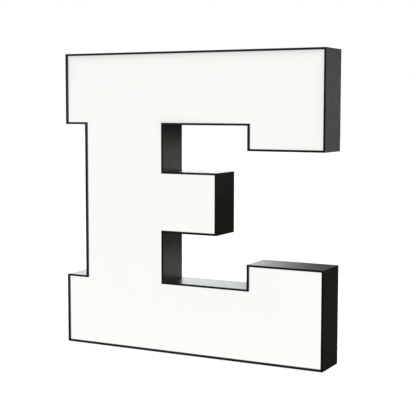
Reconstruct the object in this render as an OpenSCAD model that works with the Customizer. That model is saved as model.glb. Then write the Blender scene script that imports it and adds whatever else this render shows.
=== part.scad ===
// Light-up letter: a slab-serif capital E with black side bands and an opal face.
// X runs along the letter's width, Y from its front to its back and Z upwards.
// Modules draw in the letter's own frame, with the front lower left corner at the origin,
// and placed() then sets the letter on its pads, centred over the frame's origin.

/* [Letter outline] */
// Height of the letter
letter_h = 600; // [560:1:680]
// Width of the letter
letter_w = 573; // [545:1:640]
// Depth of the side bands from front edge to back edge
letter_d = 78; // [70:1:120]
// Reach of the left serifs past the stem
serif_out = 47; // [30:1:60]
// Width of the stem
stem_w = 184.5; // [170:0.5:200]
// Height of the top and bottom arms
arm_h = 143.5; // [136:0.5:150]
// Width of the serifs at the arm ends
tip_w = 157.5; // [135:0.5:170]
// Height of the arm ends with their serifs
tip_h = 191.5; // [180:0.5:200]
// Height of the middle arm
middle_h = 122; // [110:1:130]
// Reach of the middle arm from the stem
middle_reach = 119; // [90:1:125]
// Height of the middle arm's centre above the letter's centre
middle_up = 3.5; // [-8:0.5:12]

/* [Shell] */
// Thickness of the side bands
wall_t = 1.6; // [1.2:0.1:2.5]
// Width of the black rim seen from the front, band and bezel together
rim_w = 4.2; // [3.2:0.1:5]
// Gap between the bands and the bezel
bezel_gap = 0.1; // [0.05:0.05:0.3]
// Depth of the face below the front edge, which is the bezel's depth
face_recess = 4.6; // [3:0.1:8]
// Thickness of the opal face
face_t = 3; // [2:0.5:5]
// Gap round the edge of the face
face_gap = 0.4; // [0.2:0.1:0.8]
// Thickness of the foam pad between the face and a ledge
foam_t = 1; // [0.5:0.1:2]
// Sheet thickness of ledges, tabs and seam plates
bracket_t = 1.5; // [1:0.1:2]
// Width of a ledge or tab along the wall
bracket_w = 18; // [14:1:22]
// Length of a bracket's foot along the depth of the wall
bracket_foot = 14; // [10:1:16]
// Reach of a face ledge inwards from the band
ledge_reach = 8; // [6:1:12]
// Length of a seam plate's legs
seam_leg = 22; // [15:1:26]

/* [Back panel] */
// Depth of the back panel below the bands' back edge
panel_recess = 6; // [5:0.5:8]
// Thickness of the back panel
panel_t = 1.5; // [1.2:0.1:2.5]
// Gap round the edge of the back panel
panel_gap = 0.5; // [0.3:0.1:1]
// Reach of a panel tab inwards from the band
tab_reach = 14; // [12:1:16]
// Thread diameter of the panel screws
panel_thread = 4; // [3:0.5:5]
// Length of the panel screws under the head
panel_screw_l = 8; // [6:1:12]
// Distance between the two keyholes
hanger_span = 380; // [340:1:420]
// Middle of the keyholes from the letter's left side, over its balance point
hanger_mid = 265; // [250:1:280]
// Depth of the keyholes below the letter's top edge
hanger_drop = 64; // [58:1:75]
// Diameter of a keyhole's entry
key_entry_d = 10; // [8:0.5:12]
// Width of a keyhole's slot
key_slot_w = 5; // [4:0.5:6]
// Climb of the slot above the entry
key_rise = 11; // [9:1:13]
// Side of a hanger plate
hanger_side = 42; // [40:1:46]
// Thickness of a hanger plate
hanger_t = 2; // [1.5:0.5:3]
// Diameter of the rivets
rivet_d = 3.2; // [2.4:0.2:4]
// Diameter of a wall bumper
bumper_d = 14; // [10:1:18]
// Reach of a wall bumper past the bands' back edge
bumper_proud = 1.5; // [1:0.5:3]
// Distance of the wall bumpers from the letter's sides
bumper_inset = 28; // [24:1:34]
// Number of slots in a vent
vent_slots = 9; // [5:1:11]
// Width of a vent slot
vent_slot_w = 4; // [3:0.5:5]
// Length of a vent slot
vent_slot_l = 30; // [20:1:32]
// Distance between vent slots
vent_pitch = 10; // [8:0.5:11]

/* [Feet] */
// Diameter of a bottom pad
pad_d = 20; // [14:1:24]
// Thickness of a bottom pad
pad_t = 2; // [1.5:0.5:3]
// Distance of the pads' middles from the front and back edges
pad_inset = 21; // [18:1:24]
// Distance of the pads' middles from the letter's left and right sides
pad_side = 42; // [30:1:80]

/* [Light tray] */
// Thickness of the tray that carries the lights
tray_t = 1.2; // [1:0.1:2]
// Gap between the tray's edge and the bands
tray_gap = 3.4; // [2.6:0.1:5]
// Clearance round a tab where the tray is notched
notch_gap = 1.5; // [1:0.5:2.5]
// Size of a standoff across its flats
standoff_af = 7; // [6:0.5:8]
// Thread diameter of the tray and standoff screws
small_thread = 3; // [2.5:0.5:3.5]
// Length of the tray and standoff screws under the head
small_screw_l = 7; // [6:1:8]
// Distance of the outer standoffs from the letter's sides
standoff_in = 74; // [70:1:84]
// Wanted distance between lights
light_pitch = 47.8; // [40:0.1:60]
// Distance of the light bars' ends from the letter's outline
bar_margin = 8; // [7:0.5:12]
// Width of a light bar's board
bar_w = 12; // [10:1:14]
// Thickness of a light bar's board
bar_t = 1.4; // [1:0.1:2]
// Rows of lights in the top and bottom arms
arm_rows = 3; // [2:1:3]
// Side of a light chip
chip_w = 3; // [2.4:0.2:3.2]
// Thickness of a light chip
chip_t = 0.7; // [0.5:0.1:0.8]
// Diameter of a lens
lens_d = 15; // [12:0.5:15]
// Height of a lens
lens_h = 5; // [4.5:0.1:6]
// Diameter of the wires that link the light bars
link_d = 1.3; // [1:0.1:1.4]

/* [Driver] */
// Length of the driver's base
driver_l = 168; // [160:1:176]
// Width of the driver
driver_w = 42; // [38:1:46]
// Height of the driver from the panel to its top
driver_h = 20.5; // [20:0.5:26]
// Wall of the driver's cover
driver_wall = 1.5; // [1.2:0.1:2]
// Length of the terminal space at each end of the driver
driver_end = 22; // [20:1:26]
// Clear space between the driver and the tray
driver_clear = 2.8; // [2:0.1:5]
// Middle of the driver from the stem's left side
driver_in = 59; // [56:1:64]
// Middle of the driver above the middle of the stem
driver_up = -16; // [-20:1:-8]

/* [Cable bay] */
// Width of the bay that the mains plug goes into
bay_w = 60; // [52:1:66]
// Height of the bay
bay_h = 78; // [70:1:84]
// Sheet thickness of the bay
bay_t = 1.2; // [1:0.1:1.5]
// Gap between the bay's floor and the tray
bay_clear = 3; // [2:0.5:4]
// Width of the notch in the band that the cord leaves through
cord_notch_w = 10; // [9:0.5:14]
// Width of the bay's flange on the back panel
bay_flange = 10; // [9:0.5:12]
// Distance of the bay's top below the arm's upper edge
bay_drop = 8; // [6:1:12]
// Width of the inlet's flange
inlet_w = 38; // [36:1:42]
// Depth of the inlet's flange
inlet_d = 15; // [14:0.5:16]
// Thickness of the inlet's flange
inlet_flange_t = 2; // [1.5:0.5:3]
// Height of the inlet's body above the bay's top
inlet_body_h = 15; // [14:0.5:18]
// Long side of the plug opening
socket_w = 14; // [13.6:0.1:14.4]
// Short side of the plug opening
socket_d = 8.2; // [8:0.1:8.6]
// Depth of the plug opening
socket_depth = 13; // [12:0.5:14]
// Distance between the contact pins
pin_pitch = 8.6; // [8.4:0.1:8.8]
// Diameter of a contact pin
pin_d = 2.4; // [2.3:0.1:2.5]

/* [Switch] */
// Distance of the switch from the bay's middle
switch_dx = 72; // [66:1:76]
// Height of the switch above the letter's bottom edge
switch_z = 100; // [86:1:108]
// Width of the switch bezel
switch_w = 15; // [14.5:0.5:17]
// Height of the switch bezel
switch_h = 21; // [20.5:0.5:24]
// Thickness of the switch bezel
switch_bezel_t = 2; // [1.5:0.1:2.2]
// Width of the switch body
switch_body_w = 12.9; // [12.7:0.1:13.1]
// Height of the switch body
switch_body_h = 18.9; // [18.7:0.1:19.2]
// Depth of the switch body below the panel's outer face
switch_body_d = 14.5; // [14.5:0.1:15.5]
// Width of the rocker
rocker_w = 10.4; // [10:0.1:10.5]
// Radius of the rocker's ends about its pivot
rocker_r = 8.1; // [7.9:0.1:8.1]
// Tilt of the rocker from its middle position
rocker_tilt = 11; // [8:1:11]
// Tilt of the moving contact from its middle position
contact_tilt = 7; // [5:1:7]
// Diameter of the rocker's pivot pins
pivot_d = 2.4; // [2:0.1:2.6]

/* [Leads] */
// Diameter of the mains leads
mains_d = 2.2; // [1.8:0.1:2.4]
// Diameter of the output leads
output_d = 1.8; // [1.4:0.1:2]
// Radius of the bends in the leads
lead_bend = 5; // [4:0.5:6]

/* [Hidden] */
$fn = 48;

// Clearance of a screw or rivet shank in its hole, and how far a cut runs past a face
fit_gap = 0.05;
hole_gap = 0.25;
cut = 1;

// The outline's lines
x_stem_l = serif_out;
x_stem_r = serif_out + stem_w;
x_middle = x_stem_r + middle_reach;
x_tip = letter_w - tip_w;
z_arm_lo = arm_h;
z_arm_hi = letter_h - arm_h;
z_tip_lo = tip_h;
z_tip_hi = letter_h - tip_h;
z_middle_lo = letter_h / 2 + middle_up - middle_h / 2;
z_middle_hi = z_middle_lo + middle_h;

// Depths from the front edge
face_back = face_recess + face_t;
ledge_y = face_back + foam_t;
panel_out = letter_d - panel_recess;
panel_in = panel_out - panel_t;
tray_back = panel_in - driver_h - driver_clear;
tray_front = tray_back - tray_t;
overall_d = letter_d + bumper_proud;

// The twenty corners of the outline moved inwards by d, clockwise from the top left
corners = 20;
function outline(d) = [
    [d, letter_h - d], [letter_w - d, letter_h - d],
    [letter_w - d, z_tip_hi + d], [x_tip + d, z_tip_hi + d],
    [x_tip + d, z_arm_hi + d], [x_stem_r - d, z_arm_hi + d],
    [x_stem_r - d, z_middle_hi - d], [x_middle - d, z_middle_hi - d],
    [x_middle - d, z_middle_lo + d], [x_stem_r - d, z_middle_lo + d],
    [x_stem_r - d, z_arm_lo - d], [x_tip + d, z_arm_lo - d],
    [x_tip + d, z_tip_lo - d], [letter_w - d, z_tip_lo - d],
    [letter_w - d, d], [d, d],
    [d, z_arm_lo - d], [x_stem_l + d, z_arm_lo - d],
    [x_stem_l + d, z_arm_hi + d], [d, z_arm_hi + d]];

// Corners that each band runs through; the bands meet at corners 3 and 12
outer_run = [3, 2, 1, 0, 19, 18, 17, 16, 15, 14, 13, 12];
inner_run = [3, 4, 5, 6, 7, 8, 9, 10, 11, 12];

// Where brackets stand: the wall, counted by its first corner, and the share of its length
spots = [[0, 0.14], [0, 0.5], [0, 0.86], [1, 0.5], [2, 0.5], [4, 0.45], [5, 0.5], [7, 0.5],
    [9, 0.5], [10, 0.45], [12, 0.5], [13, 0.5], [14, 0.14], [14, 0.5], [14, 0.86], [15, 0.5],
    [17, 0.25], [17, 0.75], [19, 0.5]];

function corner(i) = outline(0)[i % corners];
function wall_dir(i) = (corner(i + 1) - corner(i)) / norm(corner(i + 1) - corner(i));
function inward(i) = [wall_dir(i)[1], -wall_dir(i)[0]];
function spot_at(s, inset) =
    corner(s[0]) + s[1] * (corner(s[0] + 1) - corner(s[0])) + inset * inward(s[0]);

// Rows of lights as [left end, right end, height]
stem_rows = round((z_arm_hi - z_arm_lo) / light_pitch);
stem_row_pitch = (z_arm_hi - z_arm_lo) / stem_rows;
bar_edge = bar_w / 2 + 4;
function stem_row_z(k) = z_arm_lo + (k + 0.5) * stem_row_pitch;
function in_middle(z) = z > z_middle_lo + bar_edge && z < z_middle_hi - bar_edge;
function arm_row_z(k) = (k + 0.5) * arm_h / arm_rows;
tip_row = (z_tip_lo + z_arm_lo) / 2;
bottom_rows = concat(
    [for (k = [0 : arm_rows - 1]) [bar_margin, letter_w - bar_margin, arm_row_z(k)]],
    [[x_tip + bar_margin, letter_w - bar_margin, tip_row]]);
top_rows = [for (r = bottom_rows) [r[0], r[1], letter_h - r[2]]];
stem_only_rows = [for (k = [0 : stem_rows - 1]) if (!in_middle(stem_row_z(k)))
    [x_stem_l + bar_margin, x_stem_r - bar_margin, stem_row_z(k)]];
middle_rows = [for (k = [0 : stem_rows - 1]) if (in_middle(stem_row_z(k)))
    [x_stem_l + bar_margin, x_middle - bar_margin, stem_row_z(k)]];
all_rows = concat(bottom_rows, stem_only_rows, middle_rows, top_rows);
function lights(r) = max(1, round((r[1] - r[0]) / light_pitch));
function light_x(r, k) = r[0] + (k + 0.5) * (r[1] - r[0]) / lights(r);
function gap_x(r, k) = r[0] + k * (r[1] - r[0]) / lights(r);

// The tray's standoffs, between the rows of lights
stem_standoff_in = 24;
middle_standoff_in = 28;
arm_standoffs = [standoff_in, letter_w / 2, letter_w - standoff_in];
standoff_spots = concat(
    [for (x = arm_standoffs) [x, z_arm_lo - arm_h / arm_rows]],
    [for (x = arm_standoffs) [x, z_arm_hi + arm_h / arm_rows]],
    [[x_stem_r - stem_standoff_in, z_arm_lo + floor(stem_rows / 2) * stem_row_pitch],
    [x_middle - middle_standoff_in, z_arm_lo + (floor(stem_rows / 2) + 1) * stem_row_pitch]]);

// Links between neighbouring rows as [x, lower row, upper row]
link_in = 6;
link_left = bar_margin + link_in;
column_z = concat([for (k = [0 : arm_rows - 1]) arm_row_z(k)],
    [for (k = [0 : stem_rows - 1]) stem_row_z(k)],
    [for (k = [arm_rows - 1 : -1 : 0]) letter_h - arm_row_z(k)]);
links = concat(
    [for (k = [0 : len(column_z) - 2]) [x_stem_l + link_left, column_z[k], column_z[k + 1]]],
    [[x_tip + link_left, arm_row_z(arm_rows - 1), tip_row],
    [x_tip + link_left, letter_h - tip_row, letter_h - arm_row_z(arm_rows - 1)]]);
link_space = 2.6;

// Fasteners
panel_hole_in = wall_t + tab_reach - panel_thread - 1;
rivet_head_h = 1;
rivet_reach = 2;
screw_head_h = 0.6;

// Back panel furniture
hanger_z = letter_h - hanger_drop;
hanger_spots = [[hanger_mid - hanger_span / 2, hanger_z], [hanger_mid + hanger_span / 2, hanger_z]];
hanger_rivet_in = 6;
bumper_spots = [[bumper_inset, bumper_inset], [letter_w - bumper_inset, bumper_inset],
    [bumper_inset, letter_h - bumper_inset], [letter_w - bumper_inset, letter_h - bumper_inset]];
stem_mid = x_stem_l + stem_w / 2;
vent_in = 30;
vent_heights = [z_arm_lo + vent_in, z_arm_hi - vent_in];

// Driver, standing in the stem with its input end down
driver_x = x_stem_l + driver_in;
driver_mid = (z_arm_lo + z_arm_hi) / 2 + driver_up;
driver_lo = driver_mid - driver_l / 2;
driver_hi = driver_mid + driver_l / 2;
driver_base_t = 2;
driver_foot = 10;
driver_foot_w = 16;
cover_screw_in = 4;
cover_boss = 7;
cover_screw_d = 2;
cover_screw_l = 9;
cover_screw_spots = [for (i = [-1, 1], j = [-1, 1])
    [driver_x + i * (driver_w / 2 - cover_screw_in),
    driver_mid + j * (driver_l / 2 - driver_end - cover_screw_in)]];
board_side = 6.5;
board_w = driver_w - 2 * (driver_wall + board_side);
board_t = 1.6;
board_y = panel_in - driver_base_t - 3;
board_margin = 3;
core_w = 18;
core_h = 12;
core_l = 22;
core_leg = 5;
core_up = 4;
capacitor_d = 10;
capacitor_l = 17;
capacitor_ups = [-40, 32];
film_w = 8;
film_h = 9;
film_l = 16;
film_side = 1;
film_drop = 6;
coil_d = 9;
coil_h = 9;
terminal_l = 14;
terminal_w = 24;
terminal_h = 11;
terminal_bore = 3;
terminal_deep = 10;
terminal_in = 8;
terminal_pitch = 10;
terminal_y = board_y - board_t - terminal_h / 2;

// Cable bay in the bottom arm, open to the back, with its inlet facing down
bay_x = stem_mid;
bay_top = z_arm_lo - bay_drop;
bay_bottom = bay_top - bay_h;
bay_floor = tray_back + bay_clear + bay_t;
bay_ramp = panel_out - bay_floor;
bay_mid_y = (bay_floor + panel_out) / 2;
bay_rivets_in = bay_flange / 2;
inlet_body_w = socket_w + 4;
inlet_body_d = socket_d + 3.8;
inlet_screw_x = inlet_w / 2 - 5;
tag_w = 4.8;
tag_t = 0.8;
tag_l = 7;
pin_tip = 2.5;
nut_af = 5.5;
nut_h = 2.4;

// Switch
switch_x = bay_x + switch_dx;
pivot_y = panel_out - 0.5;
housing_wall = 1.1;
housing_floor = 1.5;
floor_y = panel_out - switch_body_d + housing_floor;
cradle_h = 1.4;
cradle_r = 0.4;
cradle_y = floor_y + cradle_h - cradle_r;
contact_t = 0.6;
contact_y = floor_y + cradle_h + fit_gap + contact_t / 2;
contact_l = 12;
contact_w = 5;
terminal_drop = 4.9;
stop_y = cradle_y + (cradle_r + fit_gap) / cos(contact_tilt)
    - (terminal_drop + tag_t / 2) * tan(contact_tilt) - fit_gap;
stem_r = 2.3;
stem_bore = 1.35;
stem_bore_up = 1;
stem_end = 6.2;
plunger_r = 1.25;
plunger_tip = pivot_y - contact_y - contact_t / 2 - fit_gap;
plunger_l = 4;
spring_turns = 5;
spring_wire = 0.35;
rocker_face = 3.4;
rocker_under = 3.4;
rocker_end = 10;
rocker_high = rocker_face + rocker_end * tan(rocker_tilt);
pivot_reach = 0.9;

module placed() {
    translate([-letter_w / 2, -overall_d / 2, pad_t]) children();
}

// Extrudes a shape drawn in X and Z through the depths y0 to y1
module slab(y0, y1) {
    translate([0, y1, 0]) rotate([90, 0, 0]) linear_extrude(y1 - y0) children();
}

// A rod along the depth, from y0 to y1
module rod(x, z, y0, y1, d) {
    translate([x, y0, z]) rotate([-90, 0, 0]) cylinder(h = y1 - y0, d = d);
}

// Sets a piece on a wall: X runs along the wall and inwards is -Z
module on_wall(s) {
    p = spot_at(s, 0);
    dir = wall_dir(s[0]);
    translate([p[0], 0, p[1]]) rotate([0, atan2(-dir[1], dir[0]), 0]) children();
}

// The strip of metal that follows a run of corners, as deep as t
module strip(run, t) {
    last = len(run) - 1;
    polygon(concat([for (i = run) outline(0)[i]],
        [for (k = [last : -1 : 0]) outline(t)[run[k]]]));
}

module outer_side_band() placed() color("#1c1c1b") difference() {
    slab(0, letter_d) strip(outer_run, wall_t);
    translate([bay_x - cord_notch_w / 2, panel_out, -cut])
        cube([cord_notch_w, panel_recess + cut, wall_t + 2 * cut]);
}

module inner_side_band() placed() color("#1c1c1b") slab(0, letter_d) strip(inner_run, wall_t);

// One L-shaped plate inside the corner where the bands meet; up is 1 or -1
seam_end_gap = 4;
module seam_plate(z, up) {
    x = x_tip + wall_t;
    z0 = z + up * wall_t;
    slab(ledge_y + seam_end_gap, panel_in - seam_end_gap) polygon([[x, z0], [x + seam_leg, z0],
        [x + seam_leg, z0 + up * bracket_t], [x + bracket_t, z0 + up * bracket_t],
        [x + bracket_t, z0 + up * seam_leg], [x, z0 + up * seam_leg]]);
}

module seam_plates() placed() color("#8f9193") {
    seam_plate(z_tip_hi, 1);
    seam_plate(z_tip_lo, -1);
}

module front_bezel() placed() color("#141414") slab(0, face_recess) difference() {
    polygon(outline(wall_t + bezel_gap));
    polygon(outline(rim_w));
}

module front_face() placed() color("#f7f7f2") slab(face_recess, face_back)
    polygon(outline(wall_t + face_gap));

// L-shaped bracket whose lip's front face is at y and whose foot runs in direction dir
module bracket(y, reach, foot, dir) {
    lip = dir > 0 ? y : y - bracket_t;
    root = dir > 0 ? y : y - foot;
    translate([-bracket_w / 2, lip, -wall_t - reach]) cube([bracket_w, bracket_t, reach]);
    translate([-bracket_w / 2, root, -wall_t - bracket_t]) cube([bracket_w, foot, bracket_t]);
}

module face_ledges() placed() color("#9a9c9e") for (s = spots)
    on_wall(s) bracket(ledge_y, ledge_reach, bracket_foot, 1);

module face_pads() placed() color("#2b2b2b") for (s = spots) on_wall(s)
    translate([-bracket_w / 2, face_back, -wall_t - ledge_reach])
        cube([bracket_w, foam_t, ledge_reach - face_gap]);

module panel_tabs() placed() color("#9a9c9e") for (s = spots) on_wall(s) difference() {
    bracket(panel_in, tab_reach, bracket_foot, -1);
    rod(0, -panel_hole_in, panel_in - bracket_t - cut, panel_in + cut, panel_thread + 2 * fit_gap);
}

// Pan-head screw pointing to the front, with its head's seat at y
module screw_to_front(x, z, y, d, l) {
    difference() {
        union() {
            rod(x, z, y - l, y + 0.2, d);
            rod(x, z, y, y + screw_head_h * d, 1.9 * d);
        }
        translate([x, y + screw_head_h * d, z]) rotate([90, 0, 0])
            cylinder(h = 0.35 * d, d = d, $fn = 6);
    }
}

// Pan-head screw pointing to the back, with its head's seat at y
module screw_to_back(x, z, y, d, l) {
    difference() {
        union() {
            rod(x, z, y - 0.2, y + l, d);
            rod(x, z, y - screw_head_h * d, y, 1.9 * d);
        }
        translate([x, y - screw_head_h * d, z]) rotate([-90, 0, 0])
            cylinder(h = 0.35 * d, d = d, $fn = 6);
    }
}

// Blind rivet through sheets from y to y + grip, with its head at the back
module rivet(x, z, y, grip) {
    rod(x, z, y - rivet_reach, y + grip + 0.2, rivet_d);
    rod(x, z, y - rivet_reach, y, rivet_d + 1.4);
    rod(x, z, y + grip, y + grip + rivet_head_h, 2 * rivet_d);
}

module panel_screws() placed() color("#b9bbbd") for (s = spots) {
    p = spot_at(s, panel_hole_in);
    screw_to_front(p[0], p[1], panel_out, panel_thread, panel_screw_l);
}

module keyhole(gap) {
    circle(d = key_entry_d + 2 * gap);
    translate([0, key_rise]) circle(d = key_slot_w + 2 * gap);
    translate([-key_slot_w / 2 - gap, 0]) square([key_slot_w + 2 * gap, key_rise]);
}

module vent() {
    for (k = [0 : vent_slots - 1]) translate([(k - (vent_slots - 1) / 2) * vent_pitch, 0]) {
        square([vent_slot_w, vent_slot_l - vent_slot_w], center = true);
        for (up = [-1, 1]) translate([0, up * (vent_slot_l - vent_slot_w) / 2])
            circle(d = vent_slot_w);
    }
}

function hanger_rivets_at(h) = [for (i = [-1, 1], j = [-1, 1])
    [h[0] + i * (hanger_side / 2 - hanger_rivet_in), h[1] + j * (hanger_side / 2 - hanger_rivet_in)]];
all_hanger_rivets = concat(hanger_rivets_at(hanger_spots[0]), hanger_rivets_at(hanger_spots[1]));
bay_rivet_spots = [for (i = [-1, 1], j = [0, 1])
    [bay_x + i * (bay_w / 2 + bay_rivets_in + bay_t),
    j == 0 ? bay_bottom + bay_ramp : bay_top - bay_ramp]];
driver_foot_spots = [[driver_x, driver_lo - driver_foot / 2], [driver_x, driver_hi + driver_foot / 2]];

module back_panel() placed() color("#1b1b1b") slab(panel_in, panel_out) difference() {
    polygon(outline(wall_t + panel_gap));
    for (s = spots) translate(spot_at(s, panel_hole_in)) circle(d = panel_thread + 2 * hole_gap);
    for (h = hanger_spots) translate(h) keyhole(hole_gap);
    for (p = concat(all_hanger_rivets, bay_rivet_spots)) translate(p)
        circle(d = rivet_d + 2 * fit_gap);
    for (p = concat(standoff_spots, driver_foot_spots)) translate(p)
        circle(d = small_thread + 2 * hole_gap);
    for (z = vent_heights) translate([stem_mid, z]) vent();
    translate([bay_x - bay_w / 2 - bay_t - hole_gap, bay_bottom - bay_t - hole_gap])
        square([bay_w + 2 * (bay_t + hole_gap), bay_h + 2 * (bay_t + hole_gap)]);
    translate([switch_x, switch_z])
        square([switch_body_w + 2 * hole_gap, switch_body_h + 2 * hole_gap], center = true);
}

module hanger_plates() placed() color("#a4a6a8") for (h = hanger_spots)
    slab(panel_in - hanger_t, panel_in) difference() {
        translate(h) square(hanger_side, center = true);
        translate(h) keyhole(0);
        for (p = hanger_rivets_at(h)) translate(p) circle(d = rivet_d + 2 * fit_gap);
    }

module hanger_rivets() placed() color("#2a2a2a") for (p = all_hanger_rivets)
    rivet(p[0], p[1], panel_in - hanger_t, panel_t + hanger_t);

// Rubber bumper, domed a little, glued to the back panel
module wall_bumpers() placed() color("#101010") for (p = bumper_spots)
    translate([p[0], panel_out, p[1]]) rotate([-90, 0, 0]) {
        h = panel_recess + bumper_proud;
        cylinder(h = h - 1, d = bumper_d);
        translate([0, 0, h - 1]) cylinder(h = 1, d1 = bumper_d, d2 = bumper_d - 2);
    }

module bottom_pads() placed() color("#101010")
    for (x = [pad_side, letter_w - pad_side], y = [pad_inset, letter_d - pad_inset])
        translate([x, y, -pad_t]) {
            cylinder(h = pad_t / 2, d1 = pad_d - 1, d2 = pad_d);
            translate([0, 0, pad_t / 2]) cylinder(h = pad_t / 2, d = pad_d);
        }

// Where the output leads pass through the tray, between two rows of the stem
lead_hole = [driver_x, z_arm_lo + (stem_rows - 1) * stem_row_pitch];
grommet_r = 4.6;
grommet_bore = 3.1;
grommet_lip = 0.6;
grommet_rim = 1.6;

module led_tray() placed() color("#f2f2f0") difference() {
    slab(tray_front, tray_back) difference() {
        polygon(outline(wall_t + tray_gap));
        for (p = standoff_spots) translate(p) circle(d = small_thread + 2 * hole_gap);
        for (r = all_rows) for (k = [2 : 2 : lights(r) - 1])
            translate([gap_x(r, k), r[2]]) circle(d = small_thread + 2 * fit_gap);
        translate(lead_hole) circle(r = grommet_r);
    }
    for (s = spots) on_wall(s)
        translate([-bracket_w / 2 - notch_gap, tray_front - cut, -wall_t - tab_reach - notch_gap])
            cube([bracket_w + 2 * notch_gap, tray_t + 2 * cut, wall_t + tab_reach + notch_gap + cut]);
}

module tray_standoffs() placed() color("#c9b06a") for (p = standoff_spots) difference() {
    translate([p[0], tray_back, p[1]]) rotate([-90, 0, 0])
        cylinder(h = panel_in - tray_back, d = standoff_af / cos(30), $fn = 6);
    rod(p[0], p[1], tray_back - cut, panel_in + cut, small_thread + 2 * fit_gap);
}

module tray_screws() placed() color("#e8e8e6") for (p = standoff_spots)
    screw_to_back(p[0], p[1], tray_front, small_thread, small_screw_l);

module standoff_screws() placed() color("#b9bbbd") for (p = standoff_spots)
    screw_to_front(p[0], p[1], panel_out, small_thread, small_screw_l);

module light_bar(r) slab(tray_front - bar_t, tray_front) difference() {
    translate([r[0], r[2] - bar_w / 2]) square([r[1] - r[0], bar_w]);
    for (k = [2 : 2 : lights(r) - 1])
        translate([gap_x(r, k), r[2]]) circle(d = small_thread + 2 * fit_gap);
}

module led_bars_top_arm() placed() color("#eeeeea") for (r = top_rows) light_bar(r);

module led_bars_stem() placed() color("#eeeeea") for (r = stem_only_rows) light_bar(r);

module led_bars_middle_arm() placed() color("#eeeeea") for (r = middle_rows) light_bar(r);

module led_bars_bottom_arm() placed() color("#eeeeea") for (r = bottom_rows) light_bar(r);

module led_chips() placed() color("#f3e27a") for (r = all_rows) for (k = [0 : lights(r) - 1])
    translate([light_x(r, k) - chip_w / 2, tray_front - bar_t - chip_t, r[2] - chip_w / 2])
        cube([chip_w, chip_t, chip_w]);

// Lens that spreads a chip's light, with a hollow over the chip and a dimple in its top
module lens() {
    r = lens_d / 2;
    rotate([90, 0, 0]) difference() {
        rotate_extrude() polygon([[0, 0], [r, 0], [r, 0.35 * lens_h], [0.9 * r, 0.65 * lens_h],
            [0.64 * r, lens_h], [0.5 * r, lens_h], [0.15 * r, 0.7 * lens_h], [0, 0.7 * lens_h]]);
        translate([0, 0, -cut]) cylinder(h = cut + chip_t + 0.6, d = 1.6 * chip_w);
    }
}

module led_lenses() placed() color([0.93, 0.96, 0.98, 0.6])
    for (r = all_rows) for (k = [0 : lights(r) - 1])
        translate([light_x(r, k), tray_front - bar_t, r[2]]) lens();

module led_bar_screws() placed() color("#e8e8e6") for (r = all_rows)
    for (k = [2 : 2 : lights(r) - 1])
        screw_to_back(gap_x(r, k), r[2], tray_front - bar_t, small_thread, bar_t + tray_t + 1.5);

module link_wires(side) for (l = links)
    translate([l[0] + side * link_space / 2, tray_front - link_d / 2, l[1] + bar_w / 2])
        cylinder(h = l[2] - l[1] - bar_w, d = link_d);

module led_links_positive() placed() color("#b3231c") link_wires(-1);

module led_links_negative() placed() color("#1a1a1a") link_wires(1);

// Driver
module driver_base() placed() color("#3a3d40") slab(panel_in - driver_base_t, panel_in)
    difference() {
        union() {
            translate([driver_x - driver_w / 2, driver_lo]) square([driver_w, driver_l]);
            translate([driver_x - driver_foot_w / 2, driver_lo - driver_foot])
                square([driver_foot_w, driver_l + 2 * driver_foot]);
        }
        for (p = driver_foot_spots) translate(p) circle(d = small_thread + 2 * fit_gap);
        for (p = cover_screw_spots) translate(p) circle(d = cover_screw_d + 2 * fit_gap);
    }

module driver_cover() placed() color("#e4e4e2") difference() {
    len = driver_l - 2 * driver_end;
    lo = driver_mid - len / 2;
    slab(panel_in - driver_h, panel_in - driver_base_t)
        translate([driver_x - driver_w / 2, lo]) square([driver_w, len]);
    difference() {
        slab(panel_in - driver_h + driver_wall, panel_in - driver_base_t + cut)
            translate([driver_x - driver_w / 2 + driver_wall, lo + driver_wall])
                square([driver_w - 2 * driver_wall, len - 2 * driver_wall]);
        for (p = cover_screw_spots)
            slab(panel_in - driver_h, panel_in - driver_base_t + cut)
                translate(p) square(cover_boss, center = true);
    }
    // Slots that the board runs out through at both ends
    slab(board_y - board_t - hole_gap, board_y + hole_gap)
        translate([driver_x - board_w / 2 - hole_gap, lo - cut])
            square([board_w + 2 * hole_gap, len + 2 * cut]);
    for (p = cover_screw_spots)
        rod(p[0], p[1], panel_in - cover_screw_l - cut, panel_in - driver_base_t + cut,
            cover_screw_d + 2 * fit_gap);
}

module driver_board() placed() color("#2f6a41") slab(board_y - board_t, board_y)
    translate([driver_x - board_w / 2, driver_lo + board_margin])
        square([board_w, driver_l - 2 * board_margin]);

// Wound transformer: ferrite core with its bobbin between the two halves
module driver_transformer() placed() color("#3b3a36")
    translate([driver_x, board_y - board_t - core_h, driver_mid + core_up]) {
        for (z = [-core_l / 2, core_l / 2 - core_leg])
            translate([-core_w / 2, 0, z]) cube([core_w, core_h, core_leg]);
        for (i = [-1, 1]) translate([i * (core_w - core_leg) / 2 - core_leg / 2, 0, -core_l / 2])
            cube([core_leg, core_h, core_l]);
        translate([-core_w / 2 + 1, 1, -core_l / 2 + 2]) cube([core_w - 2, core_h - 1, core_l - 4]);
    }

module driver_capacitors() placed() color("#22314f") {
    for (z = capacitor_ups)
        translate([driver_x - board_w / 4, board_y - board_t - capacitor_d / 2, driver_mid + z])
            cylinder(h = capacitor_l, d = capacitor_d);
    translate([driver_x + film_side, board_y - board_t - film_h,
        driver_mid - core_l / 2 - film_l - film_drop]) cube([film_w, film_h, film_l]);
    translate([driver_x + board_w / 4, board_y - board_t, driver_mid + core_l / 2 + coil_d])
        rotate([90, 0, 0]) cylinder(h = coil_h, d = coil_d);
}

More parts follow.
